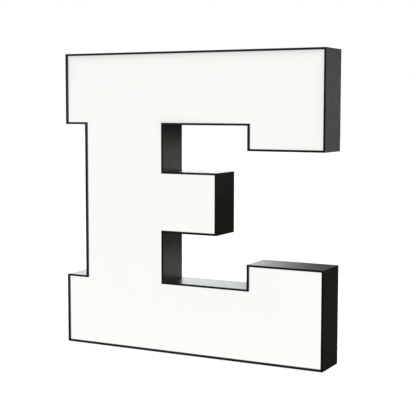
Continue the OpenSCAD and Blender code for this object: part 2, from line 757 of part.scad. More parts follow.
// Two-pole screw terminals on the board's ends; up is 1 at the top end and -1 at the bottom
module terminal_block(z, up) difference() {
    translate([driver_x - terminal_w / 2, board_y - board_t - terminal_h, up > 0 ? z - terminal_l : z])
        cube([terminal_w, terminal_h, terminal_l]);
    for (i = [-1, 1]) {
        translate([driver_x + i * terminal_pitch / 2, terminal_y, z - up * terminal_deep])
            rotate([up > 0 ? 0 : 180, 0, 0]) cylinder(h = terminal_deep + cut, d = terminal_bore);
        rod(driver_x + i * terminal_pitch / 2, z - up * terminal_l / 2,
            board_y - board_t - terminal_h - cut, board_y - board_t - terminal_h + 2, terminal_bore + 0.6);
    }
}

module driver_terminals() placed() color("#4d8f52") {
    terminal_block(driver_hi - board_margin, 1);
    terminal_block(driver_lo + board_margin, -1);
}

module driver_cover_screws() placed() color("#b9bbbd") for (p = cover_screw_spots)
    rod(p[0], p[1], panel_in - cover_screw_l, panel_in, cover_screw_d);

module driver_fixings() placed() color("#b9bbbd") for (p = driver_foot_spots) {
    screw_to_front(p[0], p[1], panel_out, small_thread, small_screw_l);
    translate([p[0], panel_in - driver_base_t - nut_h, p[1]]) rotate([-90, 0, 0]) difference() {
        cylinder(h = nut_h, d = nut_af / cos(30), $fn = 6);
        translate([0, 0, -cut]) cylinder(h = nut_h + 2 * cut, d = small_thread + 2 * fit_gap);
    }
}

// Cable bay
module bay_profile() polygon([
    [panel_out, bay_top + bay_t], [bay_floor - bay_t, bay_top + bay_t],
    [bay_floor - bay_t, bay_bottom + bay_ramp - bay_t], [panel_out, bay_bottom - bay_t],
    [panel_out, bay_bottom], [bay_floor, bay_bottom + bay_ramp],
    [bay_floor, bay_top], [panel_out, bay_top]]);

// Extrudes a shape drawn in Y and Z from x0 to x1
module sideways(x0, x1) translate([x0, 0, 0]) rotate([90, 0, 90]) linear_extrude(x1 - x0) children();

module cable_bay() placed() color("#1b1b1b") difference() {
    union() {
        sideways(bay_x - bay_w / 2, bay_x + bay_w / 2) bay_profile();
        for (x = [bay_x - bay_w / 2 - bay_t, bay_x + bay_w / 2])
            sideways(x, x + bay_t) polygon([[panel_out, bay_top + bay_t],
                [bay_floor - bay_t, bay_top + bay_t],
                [bay_floor - bay_t, bay_bottom + bay_ramp - bay_t], [panel_out, bay_bottom - bay_t]]);
        slab(panel_out, panel_out + bay_t) difference() {
            translate([bay_x - bay_w / 2 - bay_t - bay_flange, bay_bottom - bay_t - bay_flange])
                square([bay_w + 2 * (bay_t + bay_flange), bay_h + 2 * (bay_t + bay_flange)]);
            translate([bay_x - bay_w / 2, bay_bottom]) square([bay_w, bay_h]);
        }
    }
    for (p = bay_rivet_spots)
        rod(p[0], p[1], panel_out - cut, panel_out + bay_t + cut, rivet_d + 2 * fit_gap);
    translate([bay_x - inlet_body_w / 2 - hole_gap, bay_mid_y - inlet_body_d / 2 - hole_gap,
        bay_top - cut]) cube([inlet_body_w + 2 * hole_gap, inlet_body_d + 2 * hole_gap, 2 * cut + bay_t]);
    for (i = [-1, 1]) translate([bay_x + i * inlet_screw_x, bay_mid_y, bay_top - cut])
        cylinder(h = 2 * cut + bay_t, d = small_thread + 2 * fit_gap);
}

module bay_rivets() placed() color("#2a2a2a") for (p = bay_rivet_spots)
    rivet(p[0], p[1], panel_in, panel_t + bay_t);

// Shape with round ends, w wide and d deep
module round_ended(w, d) {
    square([w - d, d], center = true);
    for (i = [-1, 1]) translate([i * (w - d) / 2, 0]) circle(d = d);
}

module inlet_socket() placed() color("#121212") translate([bay_x, bay_mid_y, bay_top])
    difference() {
        union() {
            translate([0, 0, -inlet_flange_t]) linear_extrude(inlet_flange_t)
                round_ended(inlet_w, inlet_d);
            translate([-inlet_body_w / 2, -inlet_body_d / 2, -0.5])
                cube([inlet_body_w, inlet_body_d, inlet_body_h + 0.5]);
        }
        translate([0, 0, -inlet_flange_t - cut]) linear_extrude(socket_depth + cut)
            round_ended(socket_w, socket_d);
        for (i = [-1, 1]) {
            translate([i * pin_pitch / 2, 0, 0])
                cylinder(h = inlet_body_h + cut, d = pin_d + 2 * fit_gap);
            translate([i * inlet_screw_x, 0, -inlet_flange_t - cut])
                cylinder(h = inlet_flange_t + 2 * cut, d = small_thread + 2 * fit_gap);
        }
    }

module inlet_pins() placed() color("#c8cacc") translate([bay_x, bay_mid_y, bay_top])
    for (i = [-1, 1]) translate([i * pin_pitch / 2, 0, 0]) {
        translate([0, 0, pin_tip]) cylinder(h = inlet_body_h - pin_tip + 0.5, d = pin_d);
        translate([0, 0, pin_tip - 1]) cylinder(h = 1, d1 = pin_d - 1.2, d2 = pin_d);
        translate([-tag_w / 2 + i * (tag_w - pin_d) / 2, -tag_t / 2, inlet_body_h + 0.2])
            cube([tag_w, tag_t, tag_l]);
    }

module inlet_screws() placed() color("#c8cacc") for (i = [-1, 1])
    translate([bay_x + i * inlet_screw_x, bay_mid_y, bay_top - inlet_flange_t]) difference() {
        union() {
            cylinder(h = inlet_flange_t + bay_t + nut_h + 1, d = small_thread);
            translate([0, 0, -screw_head_h * small_thread])
                cylinder(h = screw_head_h * small_thread, d = 1.9 * small_thread);
        }
        translate([0, 0, -screw_head_h * small_thread])
            cylinder(h = 0.35 * small_thread, d = small_thread, $fn = 6);
    }

module inlet_nuts() placed() color("#c8cacc") for (i = [-1, 1])
    translate([bay_x + i * inlet_screw_x, bay_mid_y, bay_top + bay_t]) difference() {
        cylinder(h = nut_h, d = nut_af / cos(30), $fn = 6);
        translate([0, 0, -cut]) cylinder(h = nut_h + 2 * cut, d = small_thread + 2 * fit_gap);
    }

// Switch, drawn with its middle at the origin of X and Z and its real depth
module at_switch() placed() translate([switch_x, 0, switch_z]) children();

module switch_housing() at_switch() color("#161616") difference() {
    union() {
        slab(panel_out, panel_out + switch_bezel_t) square([switch_w, switch_h], center = true);
        slab(panel_out - switch_body_d, panel_out + 0.5)
            square([switch_body_w, switch_body_h], center = true);
    }
    slab(floor_y, panel_out + switch_bezel_t + cut)
        square([switch_body_w - 2 * housing_wall, 2 * rocker_r + 0.4], center = true);
    translate([-switch_body_w / 2 + 0.1, pivot_y, 0]) rotate([0, 90, 0])
        cylinder(h = switch_body_w - 0.2, d = pivot_d + 2 * fit_gap);
    for (z = [0, -terminal_drop]) slab(floor_y - housing_floor - cut, floor_y + cut)
        translate([0, z]) square([tag_w + 2 * fit_gap, tag_t + 2 * fit_gap], center = true);
}

// Turns a piece about the rocker's or the contact's own axis
module tilted(y, angle) translate([0, y, 0]) rotate([angle, 0, 0]) translate([0, -y, 0]) children();

module switch_rocker() at_switch() color("#191919") tilted(pivot_y, rocker_tilt)
    translate([0, pivot_y, 0]) difference() {
        union() {
            intersection() {
                translate([-rocker_w / 2, 0, 0]) rotate([0, 90, 0])
                    cylinder(h = rocker_w, r = rocker_r);
                sideways(-rocker_w / 2, rocker_w / 2) polygon([[rocker_face, 0],
                    [rocker_high, rocker_end], [-rocker_under, rocker_end],
                    [-rocker_under, -rocker_end], [rocker_high, -rocker_end]]);
            }
            for (i = [-1, 1]) translate([i > 0 ? 0 : -rocker_w / 2 - pivot_reach, 0, 0])
                rotate([0, 90, 0]) cylinder(h = rocker_w / 2 + pivot_reach, d = pivot_d);
            translate([0, -stem_end, 0]) rotate([-90, 0, 0]) cylinder(h = stem_end, r = stem_r);
        }
        translate([0, -stem_end - cut, 0]) rotate([-90, 0, 0])
            cylinder(h = stem_end + cut + stem_bore_up, r = stem_bore);
    }

module switch_plunger() at_switch() color("#d9d4c4") tilted(pivot_y, rocker_tilt)
    translate([0, pivot_y - plunger_tip, 0]) rotate([-90, 0, 0]) {
        cylinder(h = 0.7, r1 = 0.5, r2 = plunger_r);
        translate([0, 0, 0.7]) cylinder(h = plunger_l - 0.7, r = plunger_r);
    }

// A tube along a path of points, as triangles
function unit(v) = v / norm(v);
function path_dir(p, i) = unit(p[min(i + 1, len(p) - 1)] - p[max(i - 1, 0)]);
function side_of(v, t) = unit(v - (v * t) * t);
function path_sides(p, first) = [for (i = 0, v = side_of(first, path_dir(p, 0)); i < len(p);
    i = i + 1, v = i < len(p) ? side_of(v, path_dir(p, i)) : v) v];
module tube_along(p, d, first, n = 8) {
    side = path_sides(p, first);
    rings = [for (i = [0 : len(p) - 1]) for (k = [0 : n - 1])
        p[i] + d / 2 * (cos(k * 360 / n) * side[i] + sin(k * 360 / n) * cross(path_dir(p, i), side[i]))];
    walls = [for (i = [0 : len(p) - 2]) for (k = [0 : n - 1]) for (f = [
        [i * n + k, (i + 1) * n + k, (i + 1) * n + (k + 1) % n],
        [i * n + k, (i + 1) * n + (k + 1) % n, i * n + (k + 1) % n]]) f];
    ends = [for (k = [1 : n - 2]) for (f = [[0, k, k + 1],
        [(len(p) - 1) * n, (len(p) - 1) * n + k + 1, (len(p) - 1) * n + k]]) f];
    polyhedron(points = rings, faces = concat(walls, ends));
}

// A path with its corners rounded by curves that start r before each corner
bend_steps = 4;
function rounded(p, r) = concat([p[0]],
    [for (i = [1 : len(p) - 2]) for (k = [0 : bend_steps])
        let (t = k / bend_steps, a = p[i] + r * unit(p[i - 1] - p[i]), b = p[i] + r * unit(p[i + 1] - p[i]))
        (1 - t) * (1 - t) * a + 2 * t * (1 - t) * p[i] + t * t * b],
    [p[len(p) - 1]]);

// Coil that pushes the plunger out of the rocker's stem
module switch_spring() at_switch() color("#b9bbbd") tilted(pivot_y, rocker_tilt)
    translate([0, pivot_y - plunger_tip + plunger_l, 0]) rotate([-90, 0, 0]) {
        coil_l = plunger_tip - plunger_l + stem_bore_up - spring_wire;
        coil_r = stem_bore - spring_wire / 2 - 0.15;
        steps = 10 * spring_turns;
        tube_along([for (k = [0 : steps]) [coil_r * cos(36 * k), coil_r * sin(36 * k),
            spring_wire / 2 + k / steps * coil_l]], spring_wire, [0, 0, 1], 6);
    }

module switch_contact() at_switch() color("#c4874a") tilted(cradle_y, -contact_tilt)
    translate([-contact_w / 2, contact_y - contact_t / 2, -contact_l / 2])
        cube([contact_w, contact_t, contact_l]);

// Terminal tags: one carries the cradle that the contact rocks on, the other is its end stop
module switch_terminals() at_switch() color("#c8cacc") {
    tag_lo = floor_y - housing_floor - tag_l;
    translate([-tag_w / 2, tag_lo, -tag_t / 2]) cube([tag_w, cradle_y - tag_lo, tag_t]);
    translate([-tag_w / 2, cradle_y, 0]) rotate([0, 90, 0]) cylinder(h = tag_w, r = cradle_r);
    translate([-tag_w / 2, tag_lo, -terminal_drop - tag_t / 2]) cube([tag_w, stop_y - tag_lo, tag_t]);
}

// Leads. The tags' and terminals' places come from the pieces they belong to.
inlet_tag_z = bay_top + inlet_body_h + 0.2 + tag_l;
switch_tag_y = floor_y - housing_floor - tag_l / 2;
input_z = driver_lo + board_margin;
output_z = driver_hi - board_margin;

lead_rise = 12;
lead_step = 6;
loop_down = 30;
loop_side = 22;
tag_shift = (tag_w - pin_d) / 2;

live_path = rounded([
    [bay_x + pin_pitch / 2 + tag_shift, bay_mid_y, inlet_tag_z],
    [bay_x + pin_pitch / 2 + tag_shift, bay_mid_y, inlet_tag_z + lead_rise],
    [switch_x, bay_mid_y, inlet_tag_z + lead_rise],
    [switch_x, switch_tag_y, inlet_tag_z],
    [switch_x, switch_tag_y, switch_z + tag_t / 2]], lead_bend);
neutral_path = rounded([
    [bay_x - pin_pitch / 2 - tag_shift, bay_mid_y, inlet_tag_z],
    [bay_x - pin_pitch / 2 - tag_shift, bay_mid_y, inlet_tag_z + lead_rise],
    [driver_x - terminal_pitch / 2, terminal_y, inlet_tag_z + lead_rise],
    [driver_x - terminal_pitch / 2, terminal_y, input_z + terminal_in]], lead_bend);
switched_path = rounded([
    [switch_x, switch_tag_y, switch_z - terminal_drop - tag_t / 2],
    [switch_x, switch_tag_y, switch_z - loop_down],
    [switch_x - loop_side, switch_tag_y, switch_z - loop_down],
    [switch_x - loop_side, switch_tag_y, inlet_tag_z + lead_rise + lead_step],
    [driver_x + terminal_pitch / 2, terminal_y, inlet_tag_z + lead_rise + lead_step],
    [driver_x + terminal_pitch / 2, terminal_y, input_z + terminal_in]], lead_bend);

module mains_lead_live() placed() color("#6b4127") tube_along(live_path, mains_d, [0, 1, 0]);

module mains_lead_neutral() placed() color("#2c5f9e") tube_along(neutral_path, mains_d, [0, 1, 0]);

module switched_lead() placed() color("#6b4127") tube_along(switched_path, mains_d, [0, 1, 0]);

output_rise = 14;
output_bend = 3;
output_front = tray_front - grommet_lip - fit_gap - output_d / 2;

// side is -1 for the positive lead and 1 for the negative one
function output_path(side) = rounded([
    [driver_x + side * terminal_pitch / 2, terminal_y, output_z - terminal_in],
    [driver_x + side * terminal_pitch / 2, terminal_y, output_z + output_rise],
    [lead_hole[0] + side * link_space / 2, terminal_y, lead_hole[1]],
    [lead_hole[0] + side * link_space / 2, output_front, lead_hole[1]],
    [lead_hole[0] + side * link_space / 2, output_front,
        stem_row_z(stem_rows - 1) - bar_w / 2]], output_bend);

module output_lead_positive() placed() color("#b3231c")
    tube_along(output_path(-1), output_d, [1, 0, 0]);

module output_lead_negative() placed() color("#1a1a1a")
    tube_along(output_path(1), output_d, [1, 0, 0]);

module tray_grommet() placed() color("#181818") translate([lead_hole[0], 0, lead_hole[1]])
    rotate([-90, 0, 0]) rotate_extrude() polygon([[grommet_bore, tray_front - grommet_lip],
        [grommet_r + grommet_rim, tray_front - grommet_lip], [grommet_r + grommet_rim, tray_front],
        [grommet_r - fit_gap, tray_front], [grommet_r - fit_gap, tray_back],
        [grommet_r + grommet_rim, tray_back], [grommet_r + grommet_rim, tray_back + grommet_lip],
        [grommet_bore, tray_back + grommet_lip]]);

// Clips on the panel that hold the mains leads
clip_w = 9;
clip_l = 6;
clip_wall = 1.2;
module lead_clip(x, y, z) difference() {
    translate([x - clip_w / 2, y - mains_d / 2 - clip_wall, z - clip_l / 2])
        cube([clip_w, panel_in - y + mains_d / 2 + clip_wall, clip_l]);
    translate([x, y, z - clip_l]) cylinder(h = 2 * clip_l, d = mains_d + 2 * fit_gap);
}

module lead_clips() placed() color("#e9e9e6") {
    lead_clip(switch_x - loop_side, switch_tag_y, (switch_z + inlet_tag_z) / 2);
    lead_clip(switch_x, switch_tag_y, (switch_z + inlet_tag_z) / 2);
}

outer_side_band();
inner_side_band();
seam_plates();
front_bezel();
front_face();
face_ledges();
face_pads();
led_tray();
tray_standoffs();
tray_screws();
standoff_screws();
led_bars_top_arm();
led_bars_stem();
led_bars_middle_arm();
led_bars_bottom_arm();
led_chips();
led_lenses();
led_bar_screws();
led_links_positive();
led_links_negative();
back_panel();
panel_tabs();
panel_screws();
hanger_plates();
hanger_rivets();
wall_bumpers();
bottom_pads();
driver_base();
driver_cover();
driver_board();
driver_transformer();
driver_capacitors();
driver_terminals();
driver_cover_screws();
driver_fixings();
cable_bay();
bay_rivets();
inlet_socket();
inlet_pins();
inlet_screws();
inlet_nuts();
switch_housing();
switch_rocker();
switch_plunger();
switch_spring();
switch_contact();
switch_terminals();
mains_lead_live();
mains_lead_neutral();
switched_lead();
output_lead_positive();
output_lead_negative();
tray_grommet();
lead_clips();
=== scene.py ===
import math

import bmesh
import bpy
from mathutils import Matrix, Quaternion, Vector


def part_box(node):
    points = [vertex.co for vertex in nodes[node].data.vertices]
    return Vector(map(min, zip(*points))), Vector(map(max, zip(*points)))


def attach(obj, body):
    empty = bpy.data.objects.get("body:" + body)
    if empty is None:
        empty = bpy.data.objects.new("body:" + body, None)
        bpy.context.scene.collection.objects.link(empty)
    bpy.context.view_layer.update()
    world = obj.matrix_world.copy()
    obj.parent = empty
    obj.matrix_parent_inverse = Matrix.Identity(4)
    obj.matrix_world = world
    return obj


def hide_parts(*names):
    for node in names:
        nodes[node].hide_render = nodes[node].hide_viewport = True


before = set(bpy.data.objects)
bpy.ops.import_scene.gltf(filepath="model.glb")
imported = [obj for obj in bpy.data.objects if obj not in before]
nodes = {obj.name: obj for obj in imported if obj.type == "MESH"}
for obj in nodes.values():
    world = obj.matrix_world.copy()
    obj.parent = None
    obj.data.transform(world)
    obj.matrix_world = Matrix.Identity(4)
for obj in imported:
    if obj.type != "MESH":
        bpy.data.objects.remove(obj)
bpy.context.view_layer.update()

# Sizes of the letter in millimetres: x from its left side, y from its front edge,
# z from its bottom edge. The frame's origin lies on the ground, under its middle.
WIDE, TALL, DEEP = 573, 600, 78
PAD, PROUD = 2, 1.5
STEM_LEFT, STEM_RIGHT, MIDDLE_END, TIP = 47, 231.5, 350.5, 415.5
ARM_LOW, ARM_HIGH, TIP_LOW, TIP_HIGH = 143.5, 456.5, 191.5, 408.5
MIDDLE_LOW, MIDDLE_HIGH = 242.5, 364.5
SHEET = 1.6
RIM = 4.2
TRIM_GAP = 0.1
RECESS = 4.6
OPAL, OPAL_GAP = 3, 0.4
PANEL_IN, PANEL_OUT = 70.5, 72
BAY_X, BAY_LOW, BAY_HIGH, RAMP = 139.25, 57.5, 135.5, 20.6
INLET_SCREW = 14
NOTCH = 10
SWITCH_X, SWITCH_Z = 211.25, 100
KEYHOLES = [(75, 536), (455, 536)]
RIVET_IN = 15
HANGER_PLATE, BAY_SHEET = 2, 1.2
HALF_DEEP = (DEEP + PROUD) / 2
SCREW_IN = 10.6
POST_IN, STEM_POST_IN, MIDDLE_POST_IN = 74, 24, 28
BAY_RIVET_X = 36.2
BUMPER_IN, BUMPER_R = 28, 7
PAD_IN, PAD_BACK, PAD_R = 42, 21, 10

# Distances in metres under which two places count as one
NEAR, TOUCHING, MERGED = 1e-5, 2e-6, 1e-6


def at(x, y, z):
    """A point of the letter, in metres in the shared frame."""
    return Vector((x - WIDE / 2, y - HALF_DEEP, z + PAD)) / 1000


def mm(size):
    """Millimetres as metres."""
    return size / 1000


def outline(d):
    """The letter's twenty corners, moved inwards by d, clockwise from the top left."""
    return [
        (d, TALL - d), (WIDE - d, TALL - d), (WIDE - d, TIP_HIGH + d), (TIP + d, TIP_HIGH + d),
        (TIP + d, ARM_HIGH + d), (STEM_RIGHT - d, ARM_HIGH + d),
        (STEM_RIGHT - d, MIDDLE_HIGH - d), (MIDDLE_END - d, MIDDLE_HIGH - d),
        (MIDDLE_END - d, MIDDLE_LOW + d), (STEM_RIGHT - d, MIDDLE_LOW + d),
        (STEM_RIGHT - d, ARM_LOW - d), (TIP + d, ARM_LOW - d),
        (TIP + d, TIP_LOW - d), (WIDE - d, TIP_LOW - d), (WIDE - d, d), (d, d),
        (d, ARM_LOW - d), (STEM_LEFT + d, ARM_LOW - d),
        (STEM_LEFT + d, ARM_HIGH + d), (d, ARM_HIGH + d)]


# Where the back panel's screws stand: wall by its first corner, and share of its length
SCREW_WALLS = [(0, 0.14), (0, 0.5), (0, 0.86), (1, 0.5), (2, 0.5), (4, 0.45), (5, 0.5), (7, 0.5),
               (9, 0.5), (10, 0.45), (12, 0.5), (13, 0.5), (14, 0.14), (14, 0.5), (14, 0.86),
               (15, 0.5), (17, 0.25), (17, 0.75), (19, 0.5)]


def wall_spot(wall, share, inset):
    """A point along one wall of the letter and that far inside it."""
    a = Vector(outline(0)[wall])
    b = Vector(outline(0)[(wall + 1) % 20])
    along = (b - a).normalized()
    return a + share * (b - a) + inset * Vector((along.y, -along.x))


# Handling pieces


def pick_up(*pieces):
    """Selects those pieces alone and makes the first one active."""
    bpy.ops.object.select_all(action="DESELECT")
    for piece in pieces:
        piece.select_set(True)
    bpy.context.view_layer.objects.active = pieces[0]


def choose(piece, part, wanted):
    """Selects the corners, edges or faces of the open piece that pass a test."""
    bpy.ops.mesh.select_mode(type=part)
    bpy.ops.mesh.select_all(action="DESELECT")
    form = bmesh.from_edit_mesh(piece.data)
    for item in {"VERT": form.verts, "EDGE": form.edges, "FACE": form.faces}[part]:
        if wanted(item):
            item.select_set(True)
    form.select_flush_mode()
    bmesh.update_edit_mesh(piece.data)


def centre_of(item):
    corners = item.verts
    return sum((v.co for v in corners), Vector()) / len(corners)


def draw_line(name, points, closed=False):
    """A line drawn by extruding one corner from point to point. Edit mode stays open."""
    bpy.ops.object.select_all(action="DESELECT")
    bpy.ops.mesh.primitive_plane_add(size=0.001)
    piece = bpy.context.object
    piece.name = name
    bpy.ops.object.mode_set(mode="EDIT")
    bpy.ops.mesh.select_mode(type="VERT")
    bpy.ops.mesh.select_all(action="SELECT")
    bpy.ops.mesh.merge(type="CENTER")
    bpy.ops.transform.translate(value=points[0])
    for a, b in zip(points, points[1:]):
        bpy.ops.mesh.extrude_region_move(TRANSFORM_OT_translate={"value": b - a})
    if closed:
        ends = (points[0], points[-1])
        choose(piece, "VERT", lambda v: min((v.co - p).length for p in ends) < MERGED)
        bpy.ops.mesh.edge_face_add()
    return piece


def draw_plate(name, inset, y):
    """The letter's whole outline as one face that looks to the front."""
    piece = draw_line(name, [at(x, y, z) for x, z in outline(inset)], closed=True)
    bpy.ops.mesh.select_all(action="SELECT")
    bpy.ops.mesh.edge_face_add()
    if bmesh.from_edit_mesh(piece.data).faces[:][0].normal.y > 0:
        bpy.ops.mesh.flip_normals()
    return piece


def open_up(piece):
    pick_up(piece)
    bpy.ops.object.mode_set(mode="EDIT")


def close_up(piece):
    bpy.ops.object.mode_set(mode="OBJECT")
    return piece


def apply(piece, kind, **settings):
    pick_up(piece)
    tool = piece.modifiers.new(kind.lower(), kind)
    for key, value in settings.items():
        setattr(tool, key, value)
    bpy.ops.object.modifier_apply(modifier=tool.name)


def thicken(piece, thickness):
    apply(piece, "SOLIDIFY", thickness=mm(thickness), offset=-1, use_even_offset=True)


def smooth(piece, angle):
    """Smooths all that turns by less than the angle."""
    pick_up(piece)
    bpy.ops.object.shade_smooth_by_angle(angle=math.radians(angle))


def shade(piece, angle=60):
    """Smooths curves and rounded edges, and keeps the broad faces flat in the light."""
    smooth(piece, angle)
    apply(piece, "WEIGHTED_NORMAL", weight=90, keep_sharp=True)


def clear_slivers(piece):
    """Joins corners that fell together and takes out faces without area."""
    open_up(piece)
    bpy.ops.mesh.select_all(action="SELECT")
    bpy.ops.mesh.remove_doubles(threshold=TOUCHING)
    bpy.ops.mesh.dissolve_degenerate(threshold=TOUCHING)
    close_up(piece)


def soften(piece, radius, segments=2, angle=50):
    """Rounds every sharp edge a little."""
    apply(piece, "BEVEL", width=mm(radius), segments=segments, limit_method="ANGLE",
          angle_limit=math.radians(angle), miter_outer="MITER_ARC")
    clear_slivers(piece)
    shade(piece)


def length_of(edge):
    a, b = (v.co for v in edge.verts)
    return (a - b).length


def round_long_edges(piece, radius, shortest, segments=3):
    """Rounds the sharp edges that are at least that long and leaves small holes crisp."""
    open_up(piece)
    choose(piece, "EDGE", lambda e: len(e.link_faces) == 2 and length_of(e) > mm(shortest)
           and e.calc_face_angle(0) > math.radians(30))
    bpy.ops.mesh.bevel(offset=mm(radius), segments=segments, affect="EDGES", loop_slide=False,
                       clamp_overlap=True)
    close_up(piece)
    clear_slivers(piece)
    shade(piece)


def settle(piece, material, body, slot, *stood_for):
    """Finishes a piece: its place goes into its mesh, and it gets its material, its body and the
    CAD nodes that it stands for. The slot is not used."""
    pick_up(piece)
    bpy.ops.object.transform_apply(location=True, rotation=True, scale=True)
    piece.data.materials.clear()
    piece.data.materials.append(material)
    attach(piece, body)
    if stood_for:
        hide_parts(*stood_for)
    return piece


def turned(name, profile, steps=24):
    """A turned piece round the Y axis, from its half section as (radius, depth)."""
    piece = draw_line(name, [Vector((mm(r), mm(y), 0)) for r, y in profile])
    bpy.ops.mesh.select_all(action="SELECT")
    bpy.ops.mesh.spin(steps=steps, angle=math.tau, center=(0, 0, 0), axis=(0, 1, 0))
    bpy.ops.mesh.select_all(action="SELECT")
    bpy.ops.mesh.remove_doubles(threshold=MERGED)
    bpy.ops.mesh.normals_make_consistent(inside=False)
    return close_up(piece)


def copies(master, name, places):
    """Copies of a master, each moved to its place, joined as one piece."""
    made = []
    for place in places:
        twin = master.copy()
        twin.data = master.data.copy()
        bpy.context.scene.collection.objects.link(twin)
        twin.location = place
        made.append(twin)
    pick_up(*made)
    if len(made) > 1:
        bpy.ops.object.join()
    made[0].name = name
    bpy.ops.object.transform_apply(location=True, rotation=True, scale=True)
    return made[0]


def discard(piece):
    bpy.data.objects.remove(piece)


def worked_copy(node, name, cuts):
    """A copy of a CAD node with its corners merged and its flat faces joined up. The cuts, as
    axis and place, run through its holes, so that no flat face has a hole inside it."""
    piece = nodes[node].copy()
    piece.data = nodes[node].data.copy()
    for key in list(piece.keys()):
        del piece[key]
    piece.name = name
    piece.parent = None
    bpy.context.scene.collection.objects.link(piece)
    open_up(piece)
    bpy.ops.mesh.select_all(action="SELECT")
    bpy.ops.mesh.remove_doubles(threshold=MERGED)
    for axis, place in cuts:
        bpy.ops.mesh.select_all(action="SELECT")
        bpy.ops.mesh.bisect(plane_co=[place * (i == axis) for i in range(3)],
                            plane_no=[float(i == axis) for i in range(3)])

    def is_spare(edge):
        on_cut = any(all(abs(v.co[axis] - place) < TOUCHING for v in edge.verts)
                     for axis, place in cuts)
        return len(edge.link_faces) == 2 and not on_cut and \
            edge.calc_face_angle(0) < math.radians(1)

    choose(piece, "EDGE", is_spare)
    bpy.ops.mesh.dissolve_edges(use_verts=False)
    return close_up(piece)


# Finishes


def start_finish(name):
    stuff = bpy.data.materials.new(name)
    stuff.use_nodes = True
    tree = stuff.node_tree
    place = tree.nodes.new("ShaderNodeTexCoord").outputs["Object"]
    return stuff, tree, tree.nodes["Principled BSDF"], place


def speckle(tree, place, size, detail=2.0, stretch=(1, 1, 1)):
    """Soft spots about as wide as size, in millimetres, drawn out along an axis by stretch."""
    if stretch != (1, 1, 1):
        turn = tree.nodes.new("ShaderNodeMapping")
        turn.inputs["Scale"].default_value = stretch
        tree.links.new(place, turn.inputs["Vector"])
        place = turn.outputs["Vector"]
    noise = tree.nodes.new("ShaderNodeTexNoise")
    noise.inputs["Scale"].default_value = 1 / mm(size)
    noise.inputs["Detail"].default_value = detail
    tree.links.new(place, noise.inputs["Vector"])
    return noise.outputs[0]


def spread(tree, value, low, high, start=0.3, end=0.7):
    """Turns a pattern's grey into a range of numbers."""
    remap = tree.nodes.new("ShaderNodeMapRange")
    for key, number in zip(("From Min", "From Max", "To Min", "To Max"), (start, end, low, high)):
        remap.inputs[key].default_value = number
    tree.links.new(value, remap.inputs["Value"])
    return remap.outputs["Result"]


def shades(tree, value, dark, light, start=0.3, end=0.7):
    """Turns a pattern's grey into a range of colours."""
    ramp = tree.nodes.new("ShaderNodeValToRGB")
    ramp.color_ramp.elements[0].position, ramp.color_ramp.elements[1].position = start, end
    ramp.color_ramp.elements[0].color, ramp.color_ramp.elements[1].color = (*dark, 1), (*light, 1)
    tree.links.new(value, ramp.inputs["Fac"])
    return ramp.outputs["Color"]


def relief(tree, surface, value, depth, under=None):
    """Raises and sinks the surface by about depth millimetres, over any relief under it."""
    bump = tree.nodes.new("ShaderNodeBump")
    bump.inputs["Distance"].default_value = mm(depth)
    tree.links.new(value, bump.inputs["Height"])
    if under:
        tree.links.new(under, bump.inputs["Normal"])
    tree.links.new(bump.outputs["Normal"], surface.inputs["Normal"])
    return bump.outputs["Normal"]


def scaled(colour, by):
    return tuple(min(1, c * by) for c in colour)


def coat(name, colour, rough, grain, depth, mottle=0.12, metal=0, gloss=0.5):
    """A painted, moulded or plated finish: fine grain, clouds of tone and uneven sheen."""
    stuff, tree, surface, place = start_finish(name)
    clouds = speckle(tree, place, grain * 30, 4)
    tree.links.new(shades(tree, clouds, scaled(colour, 1 - mottle), scaled(colour, 1 + mottle)),
                   surface.inputs["Base Color"])
    sheen = speckle(tree, place, grain * 12, 3)
    tree.links.new(spread(tree, sheen, rough * 0.88, rough * 1.12), surface.inputs["Roughness"])
    relief(tree, surface, speckle(tree, place, grain, 2), depth)
    surface.inputs["Metallic"].default_value = metal
    surface.inputs["Specular IOR Level"].default_value = gloss
    return stuff


def rolled(name, colour, rough, along=(0.04, 1, 1), mottle=0.1, metal=1):
    """Bare metal with fine rolling or turning marks along one axis."""
    stuff, tree, surface, place = start_finish(name)
    marks = speckle(tree, place, 0.35, 3, along)
    tree.links.new(shades(tree, speckle(tree, place, 14, 3), scaled(colour, 1 - mottle),
                          scaled(colour, 1 + mottle)), surface.inputs["Base Color"])
    tree.links.new(spread(tree, marks, rough * 0.7, rough * 1.3), surface.inputs["Roughness"])
    relief(tree, surface, marks, 0.01)
    surface.inputs["Metallic"].default_value = metal
    return stuff


def powder_coat():
    """Satin black powder coat: a soft orange peel, a fine sparkle of grain and faint dust."""
    stuff, tree, surface, place = start_finish("satin_powder_coat")
    tree.links.new(shades(tree, speckle(tree, place, 45, 5), (0.0078, 0.0076, 0.0066),
                          (0.0115, 0.0112, 0.0097)), surface.inputs["Base Color"])
    tree.links.new(spread(tree, speckle(tree, place, 18, 3), 0.27, 0.33),
                   surface.inputs["Roughness"])
    peel = relief(tree, surface, speckle(tree, place, 2.6, 2), 0.012)
    relief(tree, surface, speckle(tree, place, 0.5, 1), 0.004, peel)
    surface.inputs["Specular IOR Level"].default_value = 0.5
    return stuff


